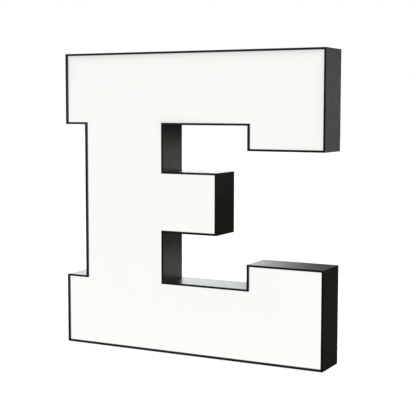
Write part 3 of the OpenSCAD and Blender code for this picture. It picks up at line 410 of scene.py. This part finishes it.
def lit_opal():
    """Opal acrylic with light behind it, as strong as the piece's glow says, and a satin skin. The
    glow also carries a painted shadow of the trim along the edges that look up or to the right.
    """
    stuff, tree, surface, place = start_finish("lit_opal_acrylic")
    # The glow attribute drives the emission: the lamp's light, less a painted shadow of the trim
    # near the upper and right-hand edges
    glow = tree.nodes.new("ShaderNodeAttribute")
    glow.attribute_name = "glow"
    ramp = tree.nodes.new("ShaderNodeValToRGB")
    ramp.color_ramp.elements[0].color = (0, 0, 0, 1)
    ramp.color_ramp.elements[1].color = (0.945, 0.950, 0.926, 1)
    tree.links.new(glow.outputs["Fac"], ramp.inputs["Fac"])
    tree.links.new(ramp.outputs["Color"], surface.inputs["Emission Color"])
    surface.inputs["Emission Strength"].default_value = 1.0
    tree.links.new(shades(tree, speckle(tree, place, 60, 3), (0.10, 0.10, 0.098),
                          (0.11, 0.11, 0.108)), surface.inputs["Base Color"])
    tree.links.new(spread(tree, speckle(tree, place, 25, 3), 0.3, 0.36),
                   surface.inputs["Roughness"])
    relief(tree, surface, speckle(tree, place, 6, 1), 0.004)
    surface.inputs["Specular IOR Level"].default_value = 0.25
    return stuff


def clear_moulding():
    """Clear acrylic with a faint unevenness from the mould."""
    stuff, tree, surface, place = start_finish("clear_lens_acrylic")
    surface.inputs["Base Color"].default_value = (0.93, 0.96, 0.98, 1)
    surface.inputs["Transmission Weight"].default_value = 0.9
    tree.links.new(spread(tree, speckle(tree, place, 3, 2), 0.05, 0.12),
                   surface.inputs["Roughness"])
    relief(tree, surface, speckle(tree, place, 1.5, 1), 0.003)
    return stuff


def insulation(name, colour):
    """Smooth wire insulation."""
    return coat(name, colour, 0.38, 0.4, 0.006, 0.08)


COAT = powder_coat()
TRIM = coat("black_edge_trim", (0.011, 0.011, 0.0105), 0.38, 0.8, 0.006)
OPAL_LIT = lit_opal()
SHEET_METAL = rolled("mill_finish_sheet", (0.62, 0.63, 0.64), 0.32)
FOAM = coat("closed_cell_foam", (0.03, 0.03, 0.03), 0.85, 0.7, 0.12, 0.2, gloss=0.2)
REFLECTOR = coat("white_reflector_coat", (0.86, 0.86, 0.85), 0.5, 0.9, 0.01, 0.03)
BRASS = rolled("turned_brass", (0.72, 0.53, 0.22), 0.25, (1, 0.05, 1))
ANODISED = coat("black_anodising", (0.022, 0.022, 0.024), 0.34, 0.35, 0.01, 0.25, metal=0.6)
LIGHT_BOARD = coat("white_light_board", (0.80, 0.80, 0.77), 0.3, 0.6, 0.004, 0.04)
PHOSPHOR = coat("phosphor_gel", (0.85, 0.62, 0.16), 0.25, 0.5, 0.01, 0.06)
LENS = clear_moulding()
RED_WIRE = insulation("red_insulation", (0.46, 0.02, 0.015))
BLACK_WIRE = insulation("black_insulation", (0.02, 0.02, 0.02))
BROWN_WIRE = insulation("brown_insulation", (0.10, 0.035, 0.014))
BLUE_WIRE = insulation("blue_insulation", (0.02, 0.07, 0.30))
RUBBER = coat("moulded_rubber", (0.018, 0.018, 0.018), 0.62, 0.5, 0.03, 0.2, gloss=0.35)
GREY_COAT = coat("grey_driver_coat", (0.05, 0.055, 0.06), 0.42, 0.7, 0.012)
WHITE_MOULDING = coat("white_moulding", (0.74, 0.74, 0.72), 0.45, 0.6, 0.012, 0.04)
BOARD = coat("green_solder_mask", (0.012, 0.07, 0.025), 0.28, 0.9, 0.006, 0.2)
FERRITE = coat("ferrite_and_tape", (0.03, 0.029, 0.026), 0.6, 0.8, 0.03, 0.25)
SLEEVE = coat("capacitor_sleeve", (0.012, 0.022, 0.08), 0.22, 0.6, 0.004)
TERMINAL_GREEN = coat("green_terminal_moulding", (0.04, 0.20, 0.06), 0.4, 0.5, 0.01)
ZINC = rolled("zinc_plate", (0.66, 0.67, 0.69), 0.28, (1, 0.1, 1), 0.14)
TINNED = rolled("tinned_brass", (0.72, 0.71, 0.66), 0.2, (1, 1, 0.05))
BLACK_MOULDING = coat("black_moulding", (0.016, 0.016, 0.016), 0.36, 0.45, 0.012, 0.15)
IVORY = coat("ivory_nylon", (0.62, 0.56, 0.42), 0.4, 0.5, 0.008, 0.05)
COPPER = rolled("copper_strip", (0.80, 0.42, 0.25), 0.22)


# The black shell

# The corners of the outline that each band runs past
OUTER_RUN = [3, 2, 1, 0, 19, 18, 17, 16, 15, 14, 13, 12]
INNER_RUN = [3, 4, 5, 6, 7, 8, 9, 10, 11, 12]
FOLD_OUTSIDE, FOLD_INSIDE, SHEET_EDGE, TRIM_EDGE = 0.7, 0.35, 0.2, 0.25


def bent_sheet(name, run):
    """A strip of sheet folded round the letter: its front edge is drawn from fold to fold and
    drawn back to the letter's depth, facing out of the letter. Edit mode stays open."""
    corners = [outline(0)[i] for i in run]
    piece = draw_line(name, [at(x, 0, z) for x, z in corners])
    bpy.ops.mesh.select_all(action="SELECT")
    bpy.ops.mesh.extrude_region_move(TRANSFORM_OT_translate={"value": (0, mm(DEEP), 0)})
    a, b = (Vector(corners[i]) for i in (0, 1))
    out = Vector((b.y - a.y, a.x - b.x)) * (1 if run[1] < run[0] else -1)
    middle = (a + b) / 2
    wall = min(bmesh.from_edit_mesh(piece.data).faces,
               key=lambda f: (centre_of(f) - at(middle.x, DEEP / 2, middle.y)).length)
    if wall.normal.x * out.x + wall.normal.z * out.y < 0:
        bpy.ops.mesh.select_all(action="SELECT")
        bpy.ops.mesh.flip_normals()
    return piece


def cut_cord_notch(piece):
    """Opens the rear edge of the bottom wall for the cord."""
    left, right = at(BAY_X - NOTCH / 2, 0, 0).x, at(BAY_X + NOTCH / 2, 0, 0).x
    depth = at(0, PANEL_OUT, 0).y
    for point, across in (((left, 0, 0), (1, 0, 0)), ((right, 0, 0), (1, 0, 0)),
                          ((0, depth, 0), (0, 1, 0))):
        choose(piece, "FACE", lambda f: f.normal.z < -0.5 and centre_of(f).z < at(0, 0, 1).z)
        bpy.ops.mesh.bisect(plane_co=point, plane_no=across)
    choose(piece, "FACE", lambda f: left < centre_of(f).x < right and centre_of(f).y > depth
           and centre_of(f).z < at(0, 0, 1).z)
    bpy.ops.mesh.delete(type="FACE")


def mitre_seam(piece, x, z, move):
    """Slides the inner corner at a band's end so that the two bands meet on the diagonal."""
    open_up(piece)
    spot = at(x, 0, z)
    choose(piece, "VERT",
           lambda v: abs(v.co.x - spot.x) < NEAR and abs(v.co.z - spot.z) < NEAR)
    bpy.ops.transform.translate(value=[mm(s) for s in move])
    close_up(piece)


def fold_edges(piece):
    """Rounds the folds: more on the outside of the sheet than on its inside."""
    outside = [at(x, 0, z) for x, z in outline(0)]

    def is_fold(edge, wanted):
        a, b = (v.co for v in edge.verts)
        if abs(a.y - b.y) < mm(DEEP) - NEAR:
            return False
        nearest = min(math.hypot(a.x - p.x, a.z - p.z) for p in outside)
        return len(edge.link_faces) == 2 and (nearest < NEAR) == wanted and \
            edge.calc_face_angle(0) > math.radians(69)

    open_up(piece)
    for wanted, radius in ((True, FOLD_OUTSIDE), (False, FOLD_INSIDE)):
        choose(piece, "EDGE", lambda e: is_fold(e, wanted))
        bpy.ops.mesh.bevel(offset=mm(radius), segments=3, affect="EDGES")
    close_up(piece)


def side_bands():
    """The two coated bands, mitred where they meet at the tips of the upper and lower arms."""
    outer = bent_sheet("outer_band_coated", OUTER_RUN)
    cut_cord_notch(outer)
    close_up(outer)
    inner = close_up(bent_sheet("inner_band_coated", INNER_RUN))
    for band in (outer, inner):
        thicken(band, SHEET)
    mitre_seam(outer, TIP, TIP_HIGH + SHEET, (SHEET, 0, 0))
    mitre_seam(outer, TIP, TIP_LOW - SHEET, (SHEET, 0, 0))
    mitre_seam(inner, TIP + SHEET, TIP_HIGH, (0, 0, SHEET))
    mitre_seam(inner, TIP + SHEET, TIP_LOW, (0, 0, -SHEET))
    for band, node in ((outer, "outer_side_band"), (inner, "inner_side_band")):
        fold_edges(band)
        soften(band, SHEET_EDGE, 2, 60)
        settle(band, COAT, "case", "black_coat", node)


def edge_trim():
    """The slim black frame that stands in front of the face, just inside the bands."""
    trim = draw_plate("edge_trim", SHEET + TRIM_GAP, 0)
    choose(trim, "FACE", lambda f: True)
    bpy.ops.mesh.inset(thickness=mm(RIM - SHEET - TRIM_GAP), use_even_offset=True)
    bpy.ops.mesh.delete(type="FACE")
    close_up(trim)
    thicken(trim, RECESS)
    soften(trim, TRIM_EDGE)
    settle(trim, TRIM, "case", "black_trim", "front_bezel")


# How strongly the face glows, how deep the painted shadow of the trim along its upper and
# right-hand edges is, and the widths in millimetres over which these change
FACE_GLOW, LOW_GLOW, LIFT, PAINTED_TRIM_SHADOW, PAINTED_WIDE_TRIM_SHADOW = 0.963, 0.016, 0.026, 0.13, 0.06
STRIP, WIDE_STRIP, LIFT_STRIP, UPPER_BLEND, LOWER_BLEND = 6.2, 17, 30, 90, 50
FACE_RINGS = (RIM - SHEET - OPAL_GAP, 0.8, 1.0, 1.5, 2.5, 4.0, 8.0, 14.0, 18.0)


def shore(x, z):
    """Distance from a point on the face to the nearest edge that looks up or to the right."""
    here, corners = Vector((x, z)), [Vector(c) for c in outline(RIM)]
    least = 1e9
    for a, b in zip(corners, corners[1:] + corners[:1]):
        along = b - a
        if along.x > 1 or along.y < -1:
            share = max(0, min(1, (here - a).dot(along) / along.length_squared))
            least = min(least, (a + share * along - here).length)
    return least


def glow_at(x, z):
    """Strength of the light through the face: strongest low down and near the outer edges there,
    and in the upper half darkened by a painted shadow of the trim towards the edges that look up
    or to the right."""
    depth, rim = shore(x, z), min(x, WIDE - x, z)
    # Painted shadow of the trim, deepest at the edges that look up or to the right
    fade = PAINTED_TRIM_SHADOW * math.exp(-(depth / STRIP) ** 2) + PAINTED_WIDE_TRIM_SHADOW * math.exp(-depth / WIDE_STRIP)
    lift = LIFT * math.exp(-rim / LIFT_STRIP)
    upper = max(0, min(1, (z - MIDDLE_HIGH) / UPPER_BLEND))
    lower = max(0, min(1, (MIDDLE_LOW - z) / LOWER_BLEND))
    return FACE_GLOW + LOW_GLOW * (1 - z / TALL) - upper * fade + lower * lift


def lit_face():
    """The opal slab, with rings towards its edge that carry how strongly it glows, painted shadow
    of the trim included.
    """
    face = draw_plate("opal_face", SHEET + OPAL_GAP, RECESS)
    choose(face, "FACE", lambda f: True)
    for step in FACE_RINGS:
        bpy.ops.mesh.inset(thickness=mm(step), use_even_offset=True)
    close_up(face)
    thicken(face, OPAL)
    # Each corner's glow is the lamp's light with the painted shadow of the trim taken off
    glow = face.data.attributes.new("glow", "FLOAT", "POINT")
    corner = at(0, 0, 0)
    for i, v in enumerate(face.data.vertices):
        glow.data[i].value = glow_at(*((v.co - corner) * 1000).xz)
    smooth(face, 30)
    settle(face, OPAL_LIT, "case", "opal_face", "front_face")


side_bands()
edge_trim()
lit_face()


# The back


def finished_copies():
    """CAD pieces whose shape is right, given the radii that they have when made."""
    bay_cuts = [(0, at(x, 0, 0).x) for x in (BAY_X - INLET_SCREW, BAY_X, BAY_X + INLET_SCREW)]
    bay_cuts += [(2, at(0, 0, z).z) for z in (BAY_LOW + RAMP, BAY_HIGH - RAMP)]
    plate_cuts = [(0, at(x + i, 0, 0).x) for x, z in KEYHOLES for i in (-RIVET_IN, 0, RIVET_IN)]
    inlet_low, inlet_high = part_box("inlet_socket")
    inlet_cuts = [(0, at(BAY_X, 0, 0).x), (1, (inlet_low[1] + inlet_high[1]) / 2)]
    switch_cuts = [(0, at(SWITCH_X, 0, 0).x), (2, at(0, 0, SWITCH_Z).z)]
    for node, name, cuts, radius, shortest, material, slot, body in (
            ("cable_bay", "cable_bay_coated", bay_cuts, 0.55, 4, COAT, "black_coat", "case"),
            ("hanger_plates", "hanger_plates_deburred", plate_cuts, 0.25, 4, SHEET_METAL,
             "bright_sheet", "case"),
            ("inlet_socket", "inlet_socket_moulded", inlet_cuts, 0.4, 0.5, BLACK_MOULDING,
             "black_moulding", "case"),
            ("switch_housing", "switch_housing_moulded", switch_cuts, 0.4, 1, BLACK_MOULDING,
             "black_moulding", "case"),
            ("switch_rocker", "switch_rocker_moulded", switch_cuts, 0.3, 0.8, BLACK_MOULDING,
             "black_moulding", "rocker"),
            ("face_pads", "face_pads_foam", [], 0.2, 0, FOAM, "foam", "case")):
        piece = worked_copy(node, name, cuts)
        round_long_edges(piece, radius, shortest)
        settle(piece, material, body, slot, node)


def hex_screw(name, thread, length, seat):
    """A screw with a crowned head behind its seat and a hex socket in it."""
    head_r, head_h, socket, sunk = 0.95 * thread, 0.6 * thread, thread / 2, 0.35 * thread
    crown, flat_r, tip = 0.55 * head_h, 0.62 * head_r, 0.4
    rim = [(flat_r + (head_r - flat_r) * math.cos(math.radians(a)),
            head_h - crown + crown * math.sin(math.radians(a))) for a in (0, 30, 60, 90)]
    profile = [(0, -length), (thread / 2 - tip, -length), (thread / 2, -length + tip),
               (thread / 2, 0), (head_r, 0)] + rim + [(socket + 0.075 * thread, head_h)]
    piece = turned(name, [(r, seat + y) for r, y in profile])
    top = mm(seat + head_h)

    def is_open_top(edge):
        return len(edge.link_faces) < 2 and all(abs(v.co.y - top) < MERGED for v in edge.verts)

    open_up(piece)
    bpy.ops.mesh.select_all(action="DESELECT")
    bpy.ops.mesh.primitive_circle_add(vertices=6, radius=mm(socket), location=(0, 0, 0),
                                      rotation=(math.pi / 2, 0, 0))
    bpy.ops.transform.translate(value=(0, top, 0))
    choose(piece, "EDGE", is_open_top)
    bpy.ops.mesh.bridge_edge_loops()
    choose(piece, "EDGE", is_open_top)
    bpy.ops.mesh.extrude_region_move(TRANSFORM_OT_translate={"value": (0, -mm(sunk), 0)})
    bpy.ops.mesh.edge_face_add()
    bpy.ops.mesh.select_all(action="SELECT")
    bpy.ops.mesh.normals_make_consistent(inside=False)
    smooth(close_up(piece), 40)
    return piece


# Where the light tray's posts stand
STANDOFFS = [(x, z) for z in (ARM_LOW * 2 / 3, ARM_HIGH + ARM_LOW / 3)
             for x in (POST_IN, WIDE / 2, WIDE - POST_IN)]
ROW_STEP = (ARM_HIGH - ARM_LOW) / 7
STANDOFFS += [(STEM_RIGHT - STEM_POST_IN, ARM_LOW + 3 * ROW_STEP),
              (MIDDLE_END - MIDDLE_POST_IN, ARM_LOW + 4 * ROW_STEP)]


def on_back(spots):
    """Places for copies of a piece that already has its depth."""
    return [Vector((at(x, 0, z).x, 0, at(x, 0, z).z)) for x, z in spots]


def rivet(name, front, grip):
    """A pop rivet through that much sheet: its tail in front, its dome behind."""
    y0, y1 = front - HALF_DEEP, front + grip - HALF_DEEP
    shank, tail, head = 1.6, 2.3, 3.2
    dome = [(head * math.cos(math.radians(a)), y1 + 0.15 + 0.85 * math.sin(math.radians(a)))
            for a in (0, 20, 40, 60)]
    piece = turned(name, [(0, y0 - 2), (tail - 0.2, y0 - 2), (tail, y0 - 1.8), (tail, y0),
                          (shank, y0), (shank, y1), (head, y1)] + dome +
                   [(1.1, y1 + 0.98), (0.95, y1 + 0.55), (0, y1 + 0.5)])
    smooth(piece, 35)
    return piece


def screws_and_rivets():
    """The screws and rivets that show on the back."""
    big = hex_screw("cap_screw", 4, 8, PANEL_OUT - HALF_DEEP)
    small = hex_screw("small_cap_screw", 3, 7, PANEL_OUT - HALF_DEEP)
    panel_spots = [tuple(wall_spot(w, s, SCREW_IN)) for w, s in SCREW_WALLS]
    for master, name, spots, node in (
            (big, "panel_cap_screws", panel_spots, "panel_screws"),
            (small, "standoff_cap_screws", STANDOFFS, "standoff_screws")):
        piece = copies(master, name, on_back(spots))
        settle(piece, ZINC, "case", "bright_steel", node)
        discard(master)

    panel = PANEL_OUT - PANEL_IN
    hanger = rivet("hanger_rivet", PANEL_IN - HANGER_PLATE, panel + HANGER_PLATE)
    bay = rivet("bay_rivet", PANEL_IN, panel + BAY_SHEET)
    corners = [(x + i, z + j) for x, z in KEYHOLES
               for i in (-RIVET_IN, RIVET_IN) for j in (-RIVET_IN, RIVET_IN)]
    flange = [(BAY_X + i * BAY_RIVET_X, z) for i in (-1, 1)
              for z in (BAY_LOW + RAMP, BAY_HIGH - RAMP)]
    for master, name, spots, node in ((hanger, "hanger_dome_rivets", corners, "hanger_rivets"),
                                      (bay, "bay_dome_rivets", flange, "bay_rivets")):
        piece = copies(master, name, on_back(spots))
        settle(piece, ANODISED, "case", "black_rivet", node)
        discard(master)


def rubber_parts():
    """Moulded bumpers behind, and stick-on pads below with a shallow ring."""
    foot, top, r = PANEL_OUT - HALF_DEEP, HALF_DEEP, BUMPER_R
    bumper = turned("bumper", [(0, foot), (r, foot), (r, top - 1.6), (r - 0.2, top - 0.9),
                               (r - 0.7, top - 0.35), (r - 1.6, top - 0.05), (r - 2.4, top),
                               (2.2, top), (1.6, top - 0.5), (0, top - 0.5)], 32)
    smooth(bumper, 40)
    spots = [(x, z) for x in (BUMPER_IN, WIDE - BUMPER_IN) for z in (BUMPER_IN, TALL - BUMPER_IN)]
    piece = copies(bumper, "moulded_bumpers", on_back(spots))
    settle(piece, RUBBER, "case", "black_rubber", "wall_bumpers")
    discard(bumper)

    r = PAD_R
    pad = turned("pad", [(0, 0), (r, 0), (r, -1.1), (r - 0.2, -1.6), (r - 0.6, -1.9),
                         (r - 1.2, -PAD), (6.2, -PAD), (5.9, -1.7), (5.3, -1.7), (5.0, -PAD),
                         (0, -PAD)], 40)
    pick_up(pad)
    pad.rotation_euler = (math.pi / 2, 0, 0)
    bpy.ops.object.transform_apply(location=False, rotation=True, scale=False)
    smooth(pad, 40)
    piece = copies(pad, "stick_on_pads", [at(x, y, 0) for x in (PAD_IN, WIDE - PAD_IN)
                                          for y in (PAD_BACK, DEEP - PAD_BACK)])
    settle(piece, RUBBER, "case", "black_rubber", "bottom_pads")
    discard(pad)


finished_copies()
screws_and_rivets()
rubber_parts()


# Inner parts keep their CAD shape and get their finish

for stuff, names in (
        (SHEET_METAL, ("face_ledges", "panel_tabs", "seam_plates")),
        (REFLECTOR, ("led_tray", "tray_screws", "led_bar_screws")),
        (BRASS, ("tray_standoffs",)),
        (COAT, ("back_panel",)),
        (LIGHT_BOARD, ("led_bars_top_arm", "led_bars_stem", "led_bars_middle_arm",
                       "led_bars_bottom_arm")),
        (PHOSPHOR, ("led_chips",)),
        (LENS, ("led_lenses",)),
        (RED_WIRE, ("led_links_positive", "output_lead_positive")),
        (BLACK_WIRE, ("led_links_negative", "output_lead_negative")),
        (BROWN_WIRE, ("mains_lead_live", "switched_lead")),
        (BLUE_WIRE, ("mains_lead_neutral",)),
        (RUBBER, ("tray_grommet",)),
        (GREY_COAT, ("driver_base",)),
        (WHITE_MOULDING, ("driver_cover", "lead_clips")),
        (BOARD, ("driver_board",)),
        (FERRITE, ("driver_transformer",)),
        (SLEEVE, ("driver_capacitors",)),
        (TERMINAL_GREEN, ("driver_terminals",)),
        (ZINC, ("driver_fixings", "driver_cover_screws", "inlet_screws", "inlet_nuts",
                "switch_spring")),
        (TINNED, ("inlet_pins", "switch_terminals")),
        (IVORY, ("switch_plunger",)),
        (COPPER, ("switch_contact",))):
    for name in names:
        for holder in nodes[name].material_slots:
            holder.material = stuff


# Studio

# Grey of the surround by height, from straight down (0) to straight up (1), and of the floor
SURROUND = ((0.0, 0.02), (0.5, 0.068), (0.62, 0.18), (1.0, 0.9))
FLOOR_PAINT, FLOOR_IN_REFLECTIONS = (0.35, 0.35, 0.35, 1), (0.074, 0.073, 0.044, 1)
FLOOR_GLOW, FLOOR_SIZE, FLOOR_DROP = 0.93, 30, 0.0005

# The letter's middle, which most lamps face
HEART = (0, 0, 0.3)
NO_FADE = 0.001

# The small cards behind the counters: their middle and width, and the way they face, which
# is the way the stem's wall mirrors the camera
COUNTER_X, COUNTER_Y, BEHIND_COUNTER_Y, COUNTER_CARD_WIDE = 0.033, 0.143, 0.151, 0.09
COUNTER_WAY = Vector((-0.49, -0.87, 0))
WARM, COOL = (1, 0.95, 0.87), (0.96, 0.99, 1)

# The camera, fitted to the edges of the letter in the photo
CAMERA_PLACE, CAMERA_AIM = Vector((0.9760, -1.8210, 0.4896)), Vector((0.0458, -0.0398, 0.2987))
CAMERA_ROLL, FOCAL_LENGTH, SENSOR = 0.089, 90.03, 36


def light_split(tree, seen, unseen):
    """Gives one shader to the camera and the other to all light that bounces."""
    path = tree.nodes.new("ShaderNodeLightPath")
    mix = tree.nodes.new("ShaderNodeMixShader")
    tree.links.new(path.outputs["Is Camera Ray"], mix.inputs["Fac"])
    tree.links.new(unseen, mix.inputs[1])
    tree.links.new(seen, mix.inputs[2])
    return mix.outputs["Shader"]


def white_room():
    """Plain white all round for the eye; soft light from above, dim from the sides and below."""
    world = bpy.data.worlds.new("white_room")
    bpy.context.scene.world = world
    world.use_nodes = True
    tree = world.node_tree
    tree.nodes.clear()
    seen = tree.nodes.new("ShaderNodeBackground")
    seen.inputs["Color"].default_value = (1, 1, 1, 1)
    way = tree.nodes.new("ShaderNodeTexCoord")
    parts = tree.nodes.new("ShaderNodeSeparateXYZ")
    tree.links.new(way.outputs["Generated"], parts.inputs["Vector"])
    sky = tree.nodes.new("ShaderNodeValToRGB")
    steps = sky.color_ramp.elements
    steps.remove(steps[0])
    for i, (height, grey) in enumerate(SURROUND):
        step = steps.new(height) if i else steps[0]
        step.position, step.color = height, (grey, grey, grey, 1)
    tree.links.new(spread(tree, parts.outputs["Z"], 0, 1, -1, 1), sky.inputs["Fac"])
    unseen = tree.nodes.new("ShaderNodeBackground")
    tree.links.new(sky.outputs["Color"], unseen.inputs["Color"])
    out = tree.nodes.new("ShaderNodeOutputWorld")
    tree.links.new(light_split(tree, seen.outputs[0], unseen.outputs[0]), out.inputs["Surface"])


def pale_floor():
    """A wide pale floor: white to the eye with a faint shadow, and darker in reflections."""
    bpy.ops.object.select_all(action="DESELECT")
    bpy.ops.mesh.primitive_plane_add(size=FLOOR_SIZE, location=(0, 0, -FLOOR_DROP))
    floor = bpy.context.object
    floor.name = "pale_floor"
    stuff = bpy.data.materials.new("pale_floor_paint")
    stuff.use_nodes = True
    tree = stuff.node_tree
    tree.nodes.clear()
    paint = tree.nodes.new("ShaderNodeBsdfDiffuse")
    paint.inputs["Color"].default_value = FLOOR_PAINT
    bright = tree.nodes.new("ShaderNodeEmission")
    bright.inputs["Strength"].default_value = FLOOR_GLOW
    both = tree.nodes.new("ShaderNodeAddShader")
    tree.links.new(paint.outputs[0], both.inputs[0])
    tree.links.new(bright.outputs[0], both.inputs[1])
    dim = tree.nodes.new("ShaderNodeBsdfDiffuse")
    dim.inputs["Color"].default_value = FLOOR_IN_REFLECTIONS
    out = tree.nodes.new("ShaderNodeOutputMaterial")
    tree.links.new(light_split(tree, both.outputs[0], dim.outputs[0]), out.inputs["Surface"])
    floor.data.materials.append(stuff)


def feather(lamp, right, top):
    """Fades the lamp towards its right and upper edges, as seen by what it lights, over those
    shares of its width and height."""
    lamp.use_nodes = True
    tree = lamp.node_tree
    spot = tree.nodes.new("ShaderNodeNewGeometry").outputs["Parametric"]
    sides = tree.nodes.new("ShaderNodeSeparateXYZ")
    tree.links.new(spot, sides.inputs["Vector"])
    both = tree.nodes.new("ShaderNodeMath")
    both.operation = "MULTIPLY"
    for i, (side, start, end) in enumerate((("X", 0, right), ("Y", 1, 1 - top))):
        ease = tree.nodes.new("ShaderNodeMapRange")
        ease.interpolation_type = "SMOOTHSTEP"
        ease.inputs["From Min"].default_value, ease.inputs["From Max"].default_value = start, end
        tree.links.new(sides.outputs[side], ease.inputs["Value"])
        tree.links.new(ease.outputs["Result"], both.inputs[i])
    tree.links.new(both.outputs[0], tree.nodes["Emission"].inputs["Strength"])


def soft_box(name, place, aim, wide, tall, glow, colour=(1, 1, 1), right=NO_FADE, top=NO_FADE):
    """An area light of that brightness, unseen by the camera."""
    lamp = bpy.data.lights.new(name, "AREA")
    lamp.shape = "RECTANGLE"
    lamp.size, lamp.size_y = wide, tall
    lamp.energy = glow * math.pi * wide * tall
    lamp.color = colour
    feather(lamp, right, top)
    holder = bpy.data.objects.new(name, lamp)
    bpy.context.scene.collection.objects.link(holder)
    holder.location = place
    holder.rotation_euler = (Vector(aim) - Vector(place)).to_track_quat("-Z", "Y").to_euler()
    holder.visible_camera = False
    return holder


def light_only(holder, pieces):
    """Lets a lamp fall on those pieces and nothing else."""
    reach = bpy.data.collections.new(holder.name + "_reach")
    for piece in pieces:
        reach.objects.link(piece)
    holder.light_linking.receiver_collection = reach


def rear_key():
    """A big soft box for the parts that only show from behind."""
    key = soft_box("rear_key", (0.9, 2.2, 1.5), HEART, wide=2.2, tall=1.8, glow=9.0)
    front = ("outer_band_coated", "inner_band_coated", "edge_trim", "opal_face", "pale_floor")
    light_only(key, [piece for piece in bpy.context.scene.objects
                     if piece.type == "MESH" and piece.name not in front])


def counter_card(name, low, high, glow, soft, back=COUNTER_Y):
    """A small warm card close behind a counter that only the stem's wall in it mirrors. It
    fades out over its highest part, as tall as soft."""
    place = Vector((COUNTER_X, back, (low + high) / 2))
    card = soft_box(name, place, place + COUNTER_WAY, wide=COUNTER_CARD_WIDE, tall=high - low,
                    glow=glow, colour=WARM, top=soft / (high - low))
    card.data.spread = math.radians(60)
    light_only(card, [bpy.data.objects["inner_band_coated"]])


def photo_camera():
    """The camera at the photo's viewing angle."""
    lens = bpy.data.cameras.new("photo_camera")
    lens.lens, lens.sensor_width = FOCAL_LENGTH, SENSOR
    camera = bpy.data.objects.new("photo_camera", lens)
    bpy.context.scene.collection.objects.link(camera)
    camera.location = CAMERA_PLACE
    camera.rotation_mode = "QUATERNION"
    camera.rotation_quaternion = (CAMERA_AIM - CAMERA_PLACE).to_track_quat("-Z", "Y") @ \
        Quaternion((0, 0, 1), math.radians(CAMERA_ROLL))
    bpy.context.scene.camera = camera


white_room()
pale_floor()
soft_box("overhead", (0.3, -0.2, 2.2), HEART, wide=2.0, tall=2.0, glow=1.3)
soft_box("front_fill", (-1.3, -2.4, 1.2), HEART, wide=1.6, tall=1.6, glow=0.6)
# The next cards are mirrored in the tops, and in the walls that look to the right
soft_box("card_behind_left", (-1.07, 1.0, 0.7), (-1.07, -1, 0.7), wide=1.9, tall=1.6, glow=2.42,
         colour=COOL, right=0.188)
soft_box("card_behind_right", (0.66, 0.5, 0.59), (0.66, -1, 0.59), wide=0.52, tall=0.6,
         glow=0.47, top=0.6)
counter_card("card_in_upper_counter", 0.30, 0.455, glow=0.079, soft=0.07)
counter_card("card_in_lower_counter", 0.05, 0.217, glow=0.072, soft=0.072)
counter_card("dim_card_in_lower_counter", 0.05, 0.28, glow=0.024, soft=0.02,
             back=BEHIND_COUNTER_Y)
soft_box("side_fill", (2.4, -0.2, 0.9), HEART, wide=1.4, tall=1.4, glow=1.2)
rear_key()
photo_camera()
bpy.context.scene.view_settings.view_transform = "Standard"

bpy.context.view_layer.update()
